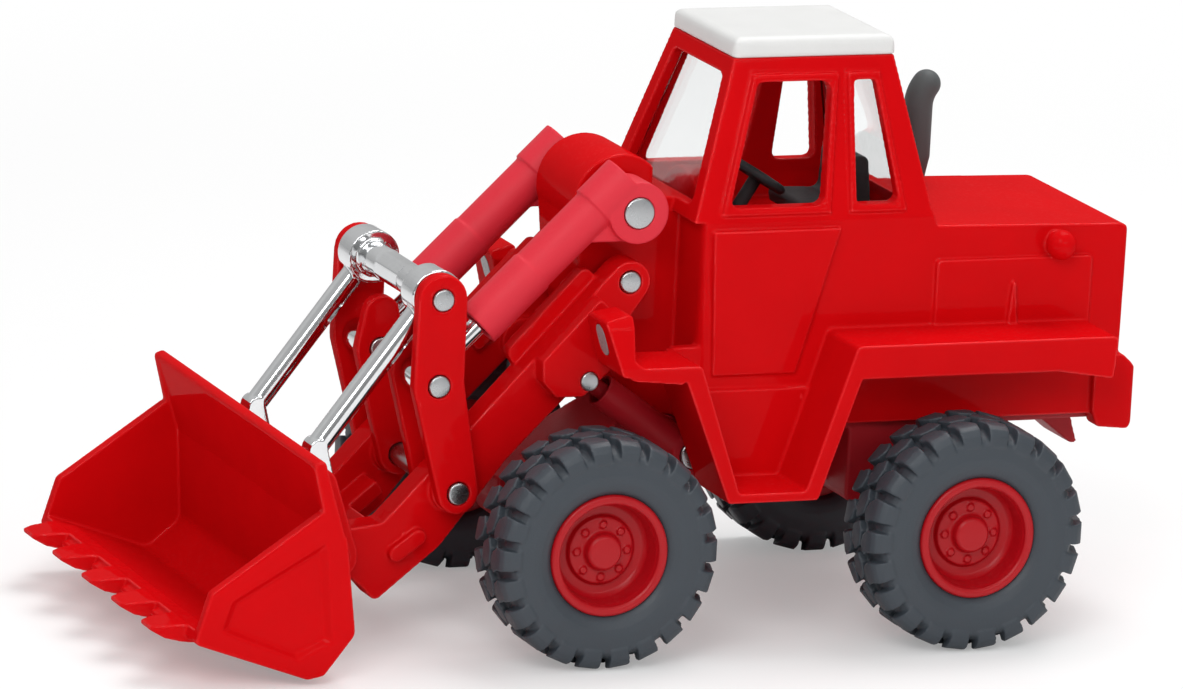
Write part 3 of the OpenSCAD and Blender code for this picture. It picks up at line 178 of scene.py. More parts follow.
def reckoned(tree, operation, a, b):
    """Two sockets taken through a Math node."""
    made = node_of(tree, "ShaderNodeMath", operation=operation)
    tree.links.new(a, made.inputs[0])
    tree.links.new(b, made.inputs[1])
    return made.outputs[0]


def mixed(group, a, b, share):
    """a and b blended by a fixed share."""
    blend = node_of(group, "ShaderNodeMix", data_type="FLOAT")
    blend.inputs[0].default_value = share
    group.links.new(a, blend.inputs[2])
    group.links.new(b, blend.inputs[3])
    return blend.outputs[0]


def paint_ripple_group():
    """Thick sprayed paint: a slow ripple, a fine peel and a slight change of depth."""
    group, start, end = new_group("Paint Ripple", (("Ripple Size", 2.4), ("Peel Size", 0.45)),
                                  ("Height", "Depth", "Gloss"))
    ripple = noise_at(group, start.outputs["Ripple Size"], 1.0)
    peel = noise_at(group, start.outputs["Peel Size"], 2.0)
    depth = noise_at(group, start.outputs["Ripple Size"], 3.0, (0.4, 0.4, 0.4))
    group.links.new(mixed(group, ripple, peel, 0.22), end.inputs["Height"])
    group.links.new(depth, end.inputs["Depth"])
    group.links.new(peel, end.inputs["Gloss"])
    return group


def mould_grain_group():
    """Moulded plastic or rubber: a fine grain with a slow change of shade."""
    group, start, end = new_group("Mould Grain", (("Grain Size", 0.16), ("Patch Size", 4.0)),
                                  ("Height", "Shade"))
    grain = noise_at(group, start.outputs["Grain Size"], 3.0)
    patch = noise_at(group, start.outputs["Patch Size"], 3.0)
    group.links.new(grain, end.inputs["Height"])
    group.links.new(mixed(group, patch, grain, 0.35), end.inputs["Shade"])
    return group


def drawn_metal_group():
    """Drawn or turned metal: streaks along the width with faint handling marks."""
    group, start, end = new_group("Drawn Metal", (("Streak Size", 0.12), ("Mark Size", 1.1)),
                                  ("Height", "Shade"))
    streak = noise_at(group, start.outputs["Streak Size"], 2.0, (1.0, 0.06, 1.0))
    mark = noise_at(group, start.outputs["Mark Size"], 4.0)
    group.links.new(streak, end.inputs["Height"])
    group.links.new(mixed(group, mark, streak, 0.4), end.inputs["Shade"])
    return group


def edge_coat_and_painted_highlight_group():
    """A mask along edges and corners; it raises the clear coat there, and where it lightens the base colour
    it is a painted highlight.
    """
    group, start, end = new_group("Edge Coat And Painted Highlight", (("Reach", 0.3), ("Full Turn", 0.93)), ("Edge",))
    links = group.links
    reach = node_of(group, "ShaderNodeMath", operation="MULTIPLY")
    reach.inputs[1].default_value = MM
    links.new(start.outputs["Reach"], reach.inputs[0])
    rounded = node_of(group, "ShaderNodeBevel", samples=6)
    links.new(reach.outputs[0], rounded.inputs["Radius"])
    shape = group.nodes.new("ShaderNodeNewGeometry")
    turn = node_of(group, "ShaderNodeVectorMath", operation="DOT_PRODUCT")
    links.new(rounded.outputs[0], turn.inputs[0])
    links.new(shape.outputs["Normal"], turn.inputs[1])
    mask = ranged(group, turn.outputs["Value"], start=0.995, end=1.0, kind="SMOOTHSTEP")
    links.new(start.outputs["Full Turn"], mask.node.inputs["From Max"])
    links.new(mask, end.inputs["Edge"])
    return group


def settled_dust_group():
    """Specks and a light film of dust on faces that look up."""
    group, start, end = new_group("Settled Dust", (("Speck Size", 0.5), ("Amount", 0.1)), ("Dust",))
    links = group.links
    facing = group.nodes.new("ShaderNodeNewGeometry")
    split = group.nodes.new("ShaderNodeSeparateXYZ")
    links.new(facing.outputs["Normal"], split.inputs[0])
    up = ranged(group, split.outputs["Z"], start=0.2, end=1.0)
    speck = ranged(group, noise_at(group, start.outputs["Speck Size"], 5.0), start=0.52, end=0.78)
    film = reckoned(group, "MULTIPLY", up, speck)
    links.new(reckoned(group, "MULTIPLY", film, start.outputs["Amount"]), end.inputs["Dust"])
    return group


class Finish:
    """One material round a Principled shader, with shared effects placed in it."""

    def __init__(self, name, **shader_values):
        self.material = bpy.data.materials.new(name)
        self.material.use_nodes = True
        self.tree = self.material.node_tree
        self.shader = self.tree.nodes["Principled BSDF"]
        for label, value in shader_values.items():
            socket = label.replace("_", " ").title().replace("Ior", "IOR")
            self.shader.inputs[socket].default_value = value

    def place(self, group, **values):
        """Places a shared effect, with its own values for the inputs named."""
        made = self.tree.nodes.new("ShaderNodeGroup")
        made.node_tree = group
        for label, value in values.items():
            made.inputs[label.replace("_", " ").title()].default_value = value
        return made

    def colours(self, factor, low, high, *layers):
        """Base colour between two shades, with layers of (mask, colour) laid over it."""
        blend = node_of(self.tree, "ShaderNodeMix", data_type="RGBA")
        self.tree.links.new(factor, blend.inputs[0])
        blend.inputs[6].default_value = (*low, 1.0)
        blend.inputs[7].default_value = (*high, 1.0)
        colour = blend.outputs[2]
        for mask, layer in layers:
            over = node_of(self.tree, "ShaderNodeMix", data_type="RGBA")
            self.tree.links.new(mask, over.inputs[0])
            self.tree.links.new(colour, over.inputs[6])
            over.inputs[7].default_value = (*layer, 1.0)
            colour = over.outputs[2]
        self.tree.links.new(colour, self.shader.inputs["Base Color"])

    def coat(self, factor, low, high):
        """Clear coat between two weights."""
        weight = ranged(self.tree, factor, start=0.0, end=1.0, low=low, high=high)
        self.tree.links.new(weight, self.shader.inputs["Coat Weight"])

    def roughness(self, factor, low, high):
        """Roughness between two values, over the middle of the factor's range."""
        value = ranged(self.tree, factor, start=0.3, end=0.7, low=low, high=high)
        self.tree.links.new(value, self.shader.inputs["Roughness"])

    def relief(self, height, depth_mm):
        """Fine relief of the surface, with its full depth in millimetres."""
        bump = node_of(self.tree, "ShaderNodeBump")
        bump.inputs["Strength"].default_value = 1.0
        bump.inputs["Distance"].default_value = depth_mm * MM
        self.tree.links.new(height, bump.inputs["Height"])
        self.tree.links.new(bump.outputs[0], self.shader.inputs["Normal"])


def darker(colour, share):
    """A colour with that share of its light."""
    return tuple(channel * share for channel in colour)


# Mesh helpers

def apply_modifiers(obj):
    """Bakes an object's modifiers into its mesh."""
    bpy.context.view_layer.update()
    evaluated = obj.evaluated_get(bpy.context.evaluated_depsgraph_get())
    mesh = bpy.data.meshes.new_from_object(evaluated)
    obj.modifiers.clear()
    old = obj.data
    obj.data = mesh
    bpy.data.meshes.remove(old)


def copy_of(node, suffix):
    """A free copy of a CAD node's mesh as a new object in the part's frame."""
    source = frame["nodes"][node]
    mesh = source.data.copy()
    obj = bpy.data.objects.new(node + suffix, mesh)
    bpy.context.scene.collection.objects.link(obj)
    if mesh.has_custom_normals:
        with bpy.context.temp_override(object=obj, active_object=obj):
            bpy.ops.mesh.customdata_custom_splitnormals_clear()
    work = bmesh.new()
    work.from_mesh(mesh)
    bmesh.ops.remove_doubles(work, verts=work.verts, dist=WELD_GAP * MM)
    work.to_mesh(mesh)
    work.free()
    return obj


def add_block(work, loops):
    """A closed block through loops of corner points in millimetres, capped at both ends."""
    rows = [[work.verts.new(Vector(corner) * MM) for corner in loop] for loop in loops]
    made = [work.faces.new(rows[0]), work.faces.new(rows[-1])]
    for near, far in zip(rows, rows[1:]):
        for j in range(len(near)):
            k = (j + 1) % len(near)
            made.append(work.faces.new((near[j], near[k], far[k], far[j])))
    bmesh.ops.recalc_face_normals(work, faces=made)


def cut_from(obj, fill):
    """Takes away from an object the closed blocks that a function puts into a mesh."""
    tool = bpy.data.objects.new("Cutter", bpy.data.meshes.new("Cutter"))
    bpy.context.scene.collection.objects.link(tool)
    work = bmesh.new()
    fill(work)
    work.to_mesh(tool.data)
    work.free()
    cut = obj.modifiers.new("Cut", "BOOLEAN")
    cut.operation, cut.solver, cut.object = "DIFFERENCE", "EXACT", tool
    apply_modifiers(obj)
    blank = tool.data
    bpy.data.objects.remove(tool)
    bpy.data.meshes.remove(blank)


def softened(node, voxel_mm, passes, keep, extra=None, cut=None):
    """A copy of a node with every edge rounded and every inner corner filled, as thick paint does."""
    obj = copy_of(node, "_soft")
    if cut is not None:
        cut_from(obj, cut)
    if extra is not None:
        work = bmesh.new()
        work.from_mesh(obj.data)
        extra(work)
        work.to_mesh(obj.data)
        work.free()
    skin_over(obj, voxel_mm, passes, keep)
    return obj


def skin_over(obj, voxel_mm, passes, keep):
    """Joins what overlaps in a mesh into one rounded skin."""
    remesh = obj.modifiers.new("Skin", "REMESH")
    remesh.mode = "VOXEL"
    remesh.voxel_size = voxel_mm * MM
    smooth = obj.modifiers.new("Round", "SMOOTH")
    smooth.factor = 0.5
    smooth.iterations = passes
    thin = obj.modifiers.new("Thin", "DECIMATE")
    thin.ratio = keep
    apply_modifiers(obj)
    obj.data.shade_smooth()


def bevelled(node, width_mm, segments=3):
    """A copy of a plainly shaped node with its sharp edges broken."""
    obj = copy_of(node, "_round")
    work = bmesh.new()
    work.from_mesh(obj.data)
    bmesh.ops.dissolve_limit(work, angle_limit=FLAT_TURN, verts=work.verts, edges=work.edges)
    sharp = [e for e in work.edges if len(e.link_faces) == 2 and e.calc_face_angle() > SHARP_TURN]
    bmesh.ops.bevel(work, geom=sharp, offset=width_mm * MM, segments=segments, profile=0.5,
                    affect="EDGES", clamp_overlap=False)
    work.to_mesh(obj.data)
    work.free()
    obj.data.shade_smooth()
    obj.data.set_sharp_from_angle(angle=SHADE_TURN)
    return obj


def stand_for(obj, node, material):
    """Makes a piece stand for a CAD node: it rides the node's body, takes the finish given, and the node is
    hidden.
    """
    obj.data.materials.clear()
    obj.data.materials.append(material)
    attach(obj, BODY_OF[node])
    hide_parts(node)


def paint_node(node, material):
    """Gives a CAD node that keeps its shape a finish of its own."""
    for slot in frame["nodes"][node].material_slots:
        slot.material = material


# Forms that only the scene has

def add_tread(work, radius, mid, half, forms):
    """Hooked shoulder lugs on both sides and blocks down the middle, round the wheel's Z axis."""
    pitch = 2.0 * math.pi / forms.lug_count
    root = radius - forms.lug_height - TREAD_ROOT
    # A lug's cross-sections: both ends as shares of the pitch, radius and height on top, the same below
    shoulder = ((0.10, 0.26, radius, 0.29 * half, root, 0.29 * half),
                (-0.14, 0.42, radius, 0.37 * half, root, 0.37 * half),
                (-0.17, 0.50, radius, 0.41 * half, root, 0.41 * half),
                (-0.34, 0.36, radius, half - 1.6, root, half - 1.6),
                (-0.34, 0.34, radius - 0.1, half - 0.95, root, half - 1.0),
                (-0.34, 0.34, radius - 0.4, half - 0.45, root, half - 1.2),
                (-0.34, 0.34, radius - 0.95, half - 0.12, root - 0.1, half - 1.3),
                (-0.32, 0.32, radius - 2.0, half, root - 0.5, half - 1.4))
    # A middle block's outline, as shares of the pitch and of half the tyre's width
    block = ((-0.50, 0.10), (-0.20, 0.245), (0.26, 0.20), (0.50, -0.10), (0.20, -0.245), (-0.26, -0.20))

    def corner(turn, at_radius, height):
        return (at_radius * math.cos(turn * pitch), at_radius * math.sin(turn * pitch), height)

    def lug_section(way, start, left, right, top_r, top_z, low_r, low_z):
        around = ((left, top_r, top_z), (right, top_r, top_z), (right, low_r, low_z), (left, low_r, low_z))
        return [corner(start + way * turn, r, mid + way * z) for turn, r, z in around]

    for i in range(forms.lug_count):
        for way, start in ((1, i), (-1, i + 0.5)):
            add_block(work, [lug_section(way, start, *row) for row in shoulder])
        add_block(work, [[corner(i + turn, r, mid + share * half) for turn, share in block]
                         for r in (root, radius)])


def tyre_form(radius, bead, outer, inner, forms):
    """A tyre round Z, its outer face at outer and its inner face at -inner, all in millimetres."""
    mid, half = (outer - inner) / 2.0, (outer + inner) / 2.0
    crown, edge = radius - forms.lug_height, radius - 1.7
    # Radius and distance in from the tyre's face, from the bead up to the crown
    wall = ((bead, 0.85), (bead + 0.5, 0.42), (bead + 1.2, 0.12), (bead + 2.0, 0.02), (edge, 0.2),
            (crown - 0.35, 0.75), (crown, 1.6))
    seat_r, seat_z = bead - BEAD_SEAT, outer - BEAD_SEAT_INSET
    profile = [(seat_r, -seat_z), (seat_r, seat_z)]
    profile += [(r, mid + half - inset) for r, inset in wall]
    profile += [(r, mid - half + inset) for r, inset in reversed(wall)]
    mesh = bpy.data.meshes.new("Tyre")
    work = bmesh.new()
    rings = []
    for i in range(TYRE_STEPS):
        turn = 2.0 * math.pi * i / TYRE_STEPS
        rings.append([work.verts.new(Vector((r * math.cos(turn), r * math.sin(turn), z)) * MM)
                      for r, z in profile])
    for near, far in zip(rings, rings[1:] + rings[:1]):
        for j in range(len(profile)):
            k = (j + 1) % len(profile)
            work.faces.new((near[j], far[j], far[k], near[k]))
    bmesh.ops.recalc_face_normals(work, faces=work.faces)
    add_tread(work, radius, mid, half, forms)
    work.to_mesh(mesh)
    work.free()
    obj = bpy.data.objects.new("Tyre", mesh)
    bpy.context.scene.collection.objects.link(obj)
    skin_over(obj, forms.rubber_skin, TYRE_PASSES, TYRE_KEEP)
    mesh = obj.data
    bpy.data.objects.remove(obj)
    return mesh


def add_tongues(work):
    """Blunt tongues over the bucket's teeth, flat on top with the underside swept up to the tip."""
    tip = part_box("bucket")[1][0] / MM
    for i in range(TOOTH_COUNT):
        y = (i - (TOOTH_COUNT - 1) / 2.0) * TOOTH_PITCH
        add_block(work, [[(tip + x, y - half, BUCKET_LIP_Z + low), (tip + x, y + half, BUCKET_LIP_Z + low),
                          (tip + x, y + half, BUCKET_LIP_Z + top), (tip + x, y - half, BUCKET_LIP_Z + top)]
                         for x, half, low, top in TONGUE])


def add_cheek_recesses(work):
    """Sloped recesses in the bucket's two cheeks, to be cut away."""
    cheek_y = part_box("bucket")[1][1] / MM
    mid_x = sum(x for x, z in RECESS) / len(RECESS)
    mid_z = sum(z for x, z in RECESS) / len(RECESS)
    for side in (1, -1):
        add_block(work, [[(mid_x + share * (x - mid_x), side * (cheek_y + out), mid_z + share * (z - mid_z))
                          for x, z in RECESS] for share, out in RECESS_ENDS])


def slim_link(work):
    """Narrows the chrome link's two feet round their pins, and the bar between its rings."""
    foot, top = (Vector((x, 0.0, z)) * MM for x, z in (FOOT_AXIS, BAR_AXIS))
    hole, bar = FOOT_HOLE_R * MM, BAR_R * MM
    for vert in work.verts:
        out = Vector((vert.co.x - top.x, 0.0, vert.co.z - top.z))
        if abs(vert.co.y) < BAR_HALF_L * MM and bar < out.length < 2.0 * bar:
            vert.co -= out.normalized() * (out.length - bar)
        away = Vector((vert.co.x - foot.x, 0.0, vert.co.z - foot.z))
        if away.length > hole:
            share = min(1.0, max(0.0, (FOOT_REACH * MM - away.length) / (FOOT_FADE * MM)))
            vert.co -= away.normalized() * (away.length - hole) * FOOT_NARROWING * share


def cab_side(z):
    """Half width of the leaning cab side at a height, in millimetres."""
    return CAB_HALF_W + (CAB_HEAD_HALF_W - CAB_HALF_W) * (z - BELT_Z) / (CAB_TOP_Z - BELT_Z)


def add_window_rim(work, side, start, end):
    """One straight stretch of a window's raised rim, between two corners in x and z."""
    (x0, z0), (x1, z1) = start, end
    run = Vector((x1 - x0, z1 - z0)).normalized() * RIM_HALF_W
    section = ((1, RIM_ROOT), (1, RIM_PROUD), (-1, RIM_PROUD), (-1, RIM_ROOT))
    loops = []
    for x, z in ((x0 - run.x, z0 - run.y), (x1 + run.x, z1 + run.y)):
        edges = [(x + way * run.y - CAB_DATUM, z - way * run.x, out) for way, out in section]
        loops.append([(rim_x, side * (cab_side(rim_z) + out), rim_z) for rim_x, rim_z, out in edges])
    add_block(work, loops)


def add_flank_trim(work):
    """Door skins, sill plates and window rims that stand proud of the cab's two sides."""
    for side in (1, -1):
        for outline, face_y in ((DOOR, DOOR_FACE_Y), (SILL, SILL_FACE_Y)):
            add_block(work, [[(x - CAB_DATUM, side * y, z) for x, z in outline]
                             for y in (CAB_HALF_W - TRIM_ROOT, face_y)])
        for outline in WINDOWS:
            for start, end in zip(outline, outline[1:] + outline[:1]):
                add_window_rim(work, side, start, end)


# Settings

def colour_prop(name, description, default):
    """A colour that the user can set."""
    return bpy.props.FloatVectorProperty(name=name, description=description, subtype="COLOR", size=3,
                                         min=0.0, max=1.0, default=default)


def size_prop(name, description, default, low, high):
    """A length in millimetres that the user can set."""
    return bpy.props.FloatProperty(name=name, description=description + " in mm", default=default,
                                   min=low, max=high)


def angle_prop(name, description, degrees):
    """An angle that the user can set."""
    return bpy.props.FloatProperty(name=name, description=description, subtype="ANGLE",
                                   default=math.radians(degrees))


class LoaderFinishes(bpy.types.PropertyGroup):
    """Colours of the finishes, and the ripple of the paint"""
    paint: colour_prop("Paint", "Gloss red of the castings", (0.63, 0.003, 0.005))
    # Painted highlight: the lighter red that the edge mask lays over the base colour along edges and
    # corners.
    painted_edge_highlight: colour_prop("Painted edge highlight", "Lighter red where the paint runs thin", (0.9, 0.045, 0.05))
    rim: colour_prop("Rims", "Satin red of the rims", (0.43, 0.003, 0.008))
    barrel: colour_prop("Tilt barrels", "Matt red of the tilt barrels", (0.72, 0.026, 0.046))
    underbody: colour_prop("Underbody", "Matt red of the underbody", (0.42, 0.006, 0.014))
    roof: colour_prop("Roof", "Satin white of the roof", (0.74, 0.74, 0.73))
    rubber: colour_prop("Tyres", "Grey of the tyres", (0.044, 0.055, 0.068))
    seat_grey: colour_prop("Cab fittings", "Grey of seat and steering", (0.03, 0.033, 0.036))
    exhaust_grey: colour_prop("Exhaust", "Grey of the exhaust stack", (0.085, 0.092, 0.094))
    lens_grey: colour_prop("Lamp lenses", "Grey of the lamp lenses", (0.30, 0.31, 0.32))
    steel: colour_prop("Steel", "Drawn steel of pins and axles", (0.50, 0.51, 0.52))
    chrome: colour_prop("Chrome", "Plating of the link and rods", (0.80, 0.81, 0.82))
    paint_ripple: size_prop("Paint ripple", "Depth of the paint's ripple", 0.02, 0.0, 0.2)


class LoaderForms(bpy.types.PropertyGroup):
    """Sizes of the skins, the tyres and the broken edges"""
    paint_skin: size_prop("Casting skin", "Grid of the rounded castings", 0.14, 0.1, 0.5)
    rubber_skin: size_prop("Tyre skin", "Grid of the rounded tyres", 0.13, 0.1, 0.5)
    lug_count: bpy.props.IntProperty(name="Lugs", description="Lugs round each shoulder of a tyre",
                                     default=22, min=8)
    lug_height: size_prop("Lug height", "Height of the tread", 0.9, 0.3, 1.5)
    tyre_bulge: size_prop("Tyre bulge", "Tyre's reach past its solid, inwards,", 1.2, 0.0, 2.0)
    pin_edge: size_prop("Pin edge", "Width of the broken edge of pins", 0.18, 0.02, 0.5)


class LoaderStage(bpy.types.PropertyGroup):
    """Camera, floor and light"""
    azimuth: angle_prop("Azimuth", "Camera's turn from square on, to the front", 22.28)
    elevation: angle_prop("Elevation", "Camera's height above the horizon", 12.97)
    roll: angle_prop("Roll", "Camera's roll", 3.0)
    distance: bpy.props.FloatProperty(name="Distance", description="Camera to aim point",
                                      subtype="DISTANCE", default=0.9)
    lens: bpy.props.FloatProperty(name="Lens", description="Focal length in mm", default=290.0)
    aim: bpy.props.FloatVectorProperty(name="Aim", description="Point the camera looks at",
                                       subtype="XYZ", size=3, default=(0.00089, 0.0, 0.02564))
    floor: colour_prop("Floor", "Pale floor", (0.93, 0.93, 0.93))
    key_power: bpy.props.FloatProperty(name="Key light", description="Power of the key panel in watts",
                                       default=1.0, min=0.0)
    sky: bpy.props.FloatProperty(name="Surround", description="Strength of the white surround",
                                 default=0.52, min=0.0)


# Finishes and pieces

FINISHES = {}


class LOADER_OT_finishes(bpy.types.Operator):
    """Make every finish of the toy"""
    bl_idname = "loader.finishes"
    bl_label = "Make finishes"

    def execute(self, context):
        colour = context.scene.loader_finishes
        ripple, grain = paint_ripple_group(), mould_grain_group()
        drawn, dust, edge_coat_and_highlight = drawn_metal_group(), settled_dust_group(), edge_coat_and_painted_highlight_group()

        paint = Finish("Gloss Red Paint", specular_ior_level=0.0, coat_roughness=0.06)
        skin = paint.place(ripple)
        film = paint.place(dust, speck_size=0.35, amount=0.02)
        edge = paint.place(edge_coat_and_highlight)
        # Along edges and corners the base colour turns a lighter red, which is a painted highlight, and the
        # clear coat is raised there.
        paint.colours(skin.outputs["Depth"], darker(colour.paint, 0.86), colour.paint,
                      (film.outputs["Dust"], PALE_DUST), (edge.outputs["Edge"], colour.painted_edge_highlight))
        paint.coat(edge.outputs["Edge"], 0.07, 1.0)
        paint.roughness(skin.outputs["Gloss"], 0.17, 0.25)
        paint.relief(skin.outputs["Height"], colour.paint_ripple)
        FINISHES["body_paint"] = paint.material

        for slot, label, base, low, high, depth in (
                ("rim_plastic", "Satin Red Rim", colour.rim, 0.3, 0.42, 0.006),
                ("barrel_plastic", "Matt Red Barrel", colour.barrel, 0.5, 0.62, 0.012),
                ("chassis_plastic", "Matt Red Underbody", colour.underbody, 0.46, 0.6, 0.012),
                ("roof_plastic", "Satin White Roof", colour.roof, 0.38, 0.5, 0.008),
                ("cab_plastic", "Matt Grey Cab Fittings", colour.seat_grey, 0.5, 0.64, 0.014),
                ("exhaust_plastic", "Matt Grey Exhaust", colour.exhaust_grey, 0.46, 0.6, 0.012),
                ("lamp_plastic", "Grey Lamp Lens", colour.lens_grey, 0.22, 0.34, 0.01)):
            moulded = Finish(label, specular_ior_level=0.28)
            mould = moulded.place(grain)
            film = moulded.place(dust, speck_size=0.4, amount=0.03)
            moulded.colours(mould.outputs["Shade"], darker(base, 0.86), base,
                            (film.outputs["Dust"], PALE_DUST))
            moulded.roughness(mould.outputs["Shade"], low, high)
            moulded.relief(mould.outputs["Height"], depth)
            FINISHES[slot] = moulded.material

        rubber = Finish("Grey Tyre Rubber", specular_ior_level=0.45)
        mould = rubber.place(grain, grain_size=0.22, patch_size=3.0)
        film = rubber.place(dust, speck_size=0.3, amount=0.06)
        rubber.colours(mould.outputs["Shade"], darker(colour.rubber, 0.72), colour.rubber,
                       (film.outputs["Dust"], RUBBER_DUST))
        rubber.roughness(mould.outputs["Shade"], 0.42, 0.6)
        rubber.relief(mould.outputs["Height"], 0.02)
        FINISHES["tyre_rubber"] = rubber.material

        for slot, label, base, low, high, depth in (
                ("pin_steel", "Drawn Steel", colour.steel, 0.22, 0.38, 0.008),
                ("rod_chrome", "Bright Chrome", colour.chrome, 0.05, 0.1, 0.002)):
            metal = Finish(label, metallic=1.0)
            marks = metal.place(drawn)
            metal.colours(marks.outputs["Shade"], darker(base, 0.8), base)
            metal.roughness(marks.outputs["Shade"], low, high)
            metal.relief(marks.outputs["Height"], depth)
            FINISHES[slot] = metal.material

        clear = Finish("Clear Glazing", roughness=0.04, ior=1.46, transmission_weight=1.0)
        mould = clear.place(grain, grain_size=1.5, patch_size=6.0)
        clear.colours(mould.outputs["Shade"], (0.93, 0.95, 0.95), (0.98, 0.985, 0.985))
        clear.relief(mould.outputs["Height"], 0.004)
        FINISHES["clear_plastic"] = clear.material
        return {"FINISHED"}


class LOADER_OT_castings(bpy.types.Operator):
    """Round the painted castings: body, lift arm, levers and bucket"""
    bl_idname = "loader.castings"
    bl_label = "Painted castings"

    def execute(self, context):
        skin = context.scene.loader_forms.paint_skin
        for node in CASTINGS:
            trim = {"bucket": add_tongues, "body_shell": add_flank_trim}.get(node)
            hollow = {"bucket": add_cheek_recesses}.get(node)
            obj = softened(node, skin, CASTING_PASSES, CASTING_KEEP, extra=trim, cut=hollow)
            stand_for(obj, node, FINISHES[SLOT_OF[node]])
        return {"FINISHED"}


class LOADER_OT_wheels(bpy.types.Operator):
    """Round the tyres and finish the rims"""
    bl_idname = "loader.wheels"
    bl_label = "Wheels"

    def execute(self, context):
        forms = context.scene.loader_forms
        low, high = (corner / MM for corner in map(Vector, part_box("front_left_tyre")))
        rim_low, rim_high = (corner / MM for corner in map(Vector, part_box("front_left_rim")))
        half = (high.y - low.y) / 2.0
        radius, bead = (high.z - low.z) / 2.0, (rim_high.z - rim_low.z) / 2.0
        rubber = tyre_form(radius, bead, half, half + forms.tyre_bulge, forms)
        for wheel in WHEELS:
            centre = sum(map(Vector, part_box(wheel + "_tyre")), Vector()) / 2.0
            side = 1.0 if centre.y > 0.0 else -1.0
            tyre = bpy.data.objects.new(wheel + "_tyre_soft", rubber.copy())
            context.scene.collection.objects.link(tyre)
            outwards = Matrix.Rotation(-side * math.pi / 2.0, 4, "X")
            tyre.data.transform(Matrix.Translation(centre) @ outwards)
            stand_for(tyre, wheel + "_tyre", FINISHES["tyre_rubber"])
            rim = softened(wheel + "_rim", *RIM_SKIN)
            stand_for(rim, wheel + "_rim", FINISHES["rim_plastic"])
        return {"FINISHED"}


class LOADER_OT_cab(bpy.types.Operator):
    """Finish roof, glazing, seat, steering, exhaust and lamps"""
    bl_idname = "loader.cab"
    bl_label = "Cab and exhaust"

    def execute(self, context):
        for node, skin in (("roof_panel", ROOF_SKIN), ("seat", SEAT_SKIN), ("exhaust_stack", TUBE_SKIN)):
            stand_for(softened(node, *skin), node, FINISHES[SLOT_OF[node]])
        for node in ("cab_glazing", "steering_column", "steering_wheel", "headlight_lenses"):
            paint_node(node, FINISHES[SLOT_OF[node]])
        return {"FINISHED"}


class LOADER_OT_cylinders(bpy.types.Operator):
    """Finish the tilt and lift cylinders and the chrome link"""
    bl_idname = "loader.cylinders"
    bl_label = "Cylinders and link"

    def execute(self, context):
        for side in ("left", "right"):
            barrel = side + "_tilt_barrel"
            stand_for(softened(barrel, *TUBE_SKIN), barrel, FINISHES["barrel_plastic"])
            lift = side + "_lift_barrel"
            stand_for(softened(lift, *TUBE_SKIN), lift, FINISHES["chassis_plastic"])
            paint_node(side + "_lift_rod", FINISHES["chassis_plastic"])
            paint_node(side + "_tilt_rod", FINISHES["rod_chrome"])
        link = softened("tilt_link", *LINK_SKIN, extra=slim_link)
        stand_for(link, "tilt_link", FINISHES["rod_chrome"])
        return {"FINISHED"}


class LOADER_OT_underbody(bpy.types.Operator):
    """Finish the underbody and its screws"""
    bl_idname = "loader.underbody"
    bl_label = "Underbody"

    def execute(self, context):
        plate = softened("chassis_plate", *UNDERBODY_SKIN)
        stand_for(plate, "chassis_plate", FINISHES["chassis_plastic"])
        paint_node("chassis_screws", FINISHES["pin_steel"])
        return {"FINISHED"}


class LOADER_OT_pins(bpy.types.Operator):
    """Break the edges of the steel pins and axles"""
    bl_idname = "loader.pins"
    bl_label = "Pins and axles"

    def execute(self, context):
        edge = context.scene.loader_forms.pin_edge
        for node in PINS:
            stand_for(bevelled(node, edge), node, FINISHES["pin_steel"])
        return {"FINISHED"}


# Stage

def soft_panel(name, place, aim, size, power):
    """A flat light panel at a place, turned to an aim point."""
    lamp = bpy.data.lights.new(name, "AREA")
    lamp.shape = "RECTANGLE"
    lamp.size, lamp.size_y = size
    lamp.energy = power
    obj = bpy.data.objects.new(name, lamp)
    bpy.context.scene.collection.objects.link(obj)
    obj.location = place
    obj.rotation_euler = (Vector(aim) - Vector(place)).to_track_quat("-Z", "Y").to_euler()


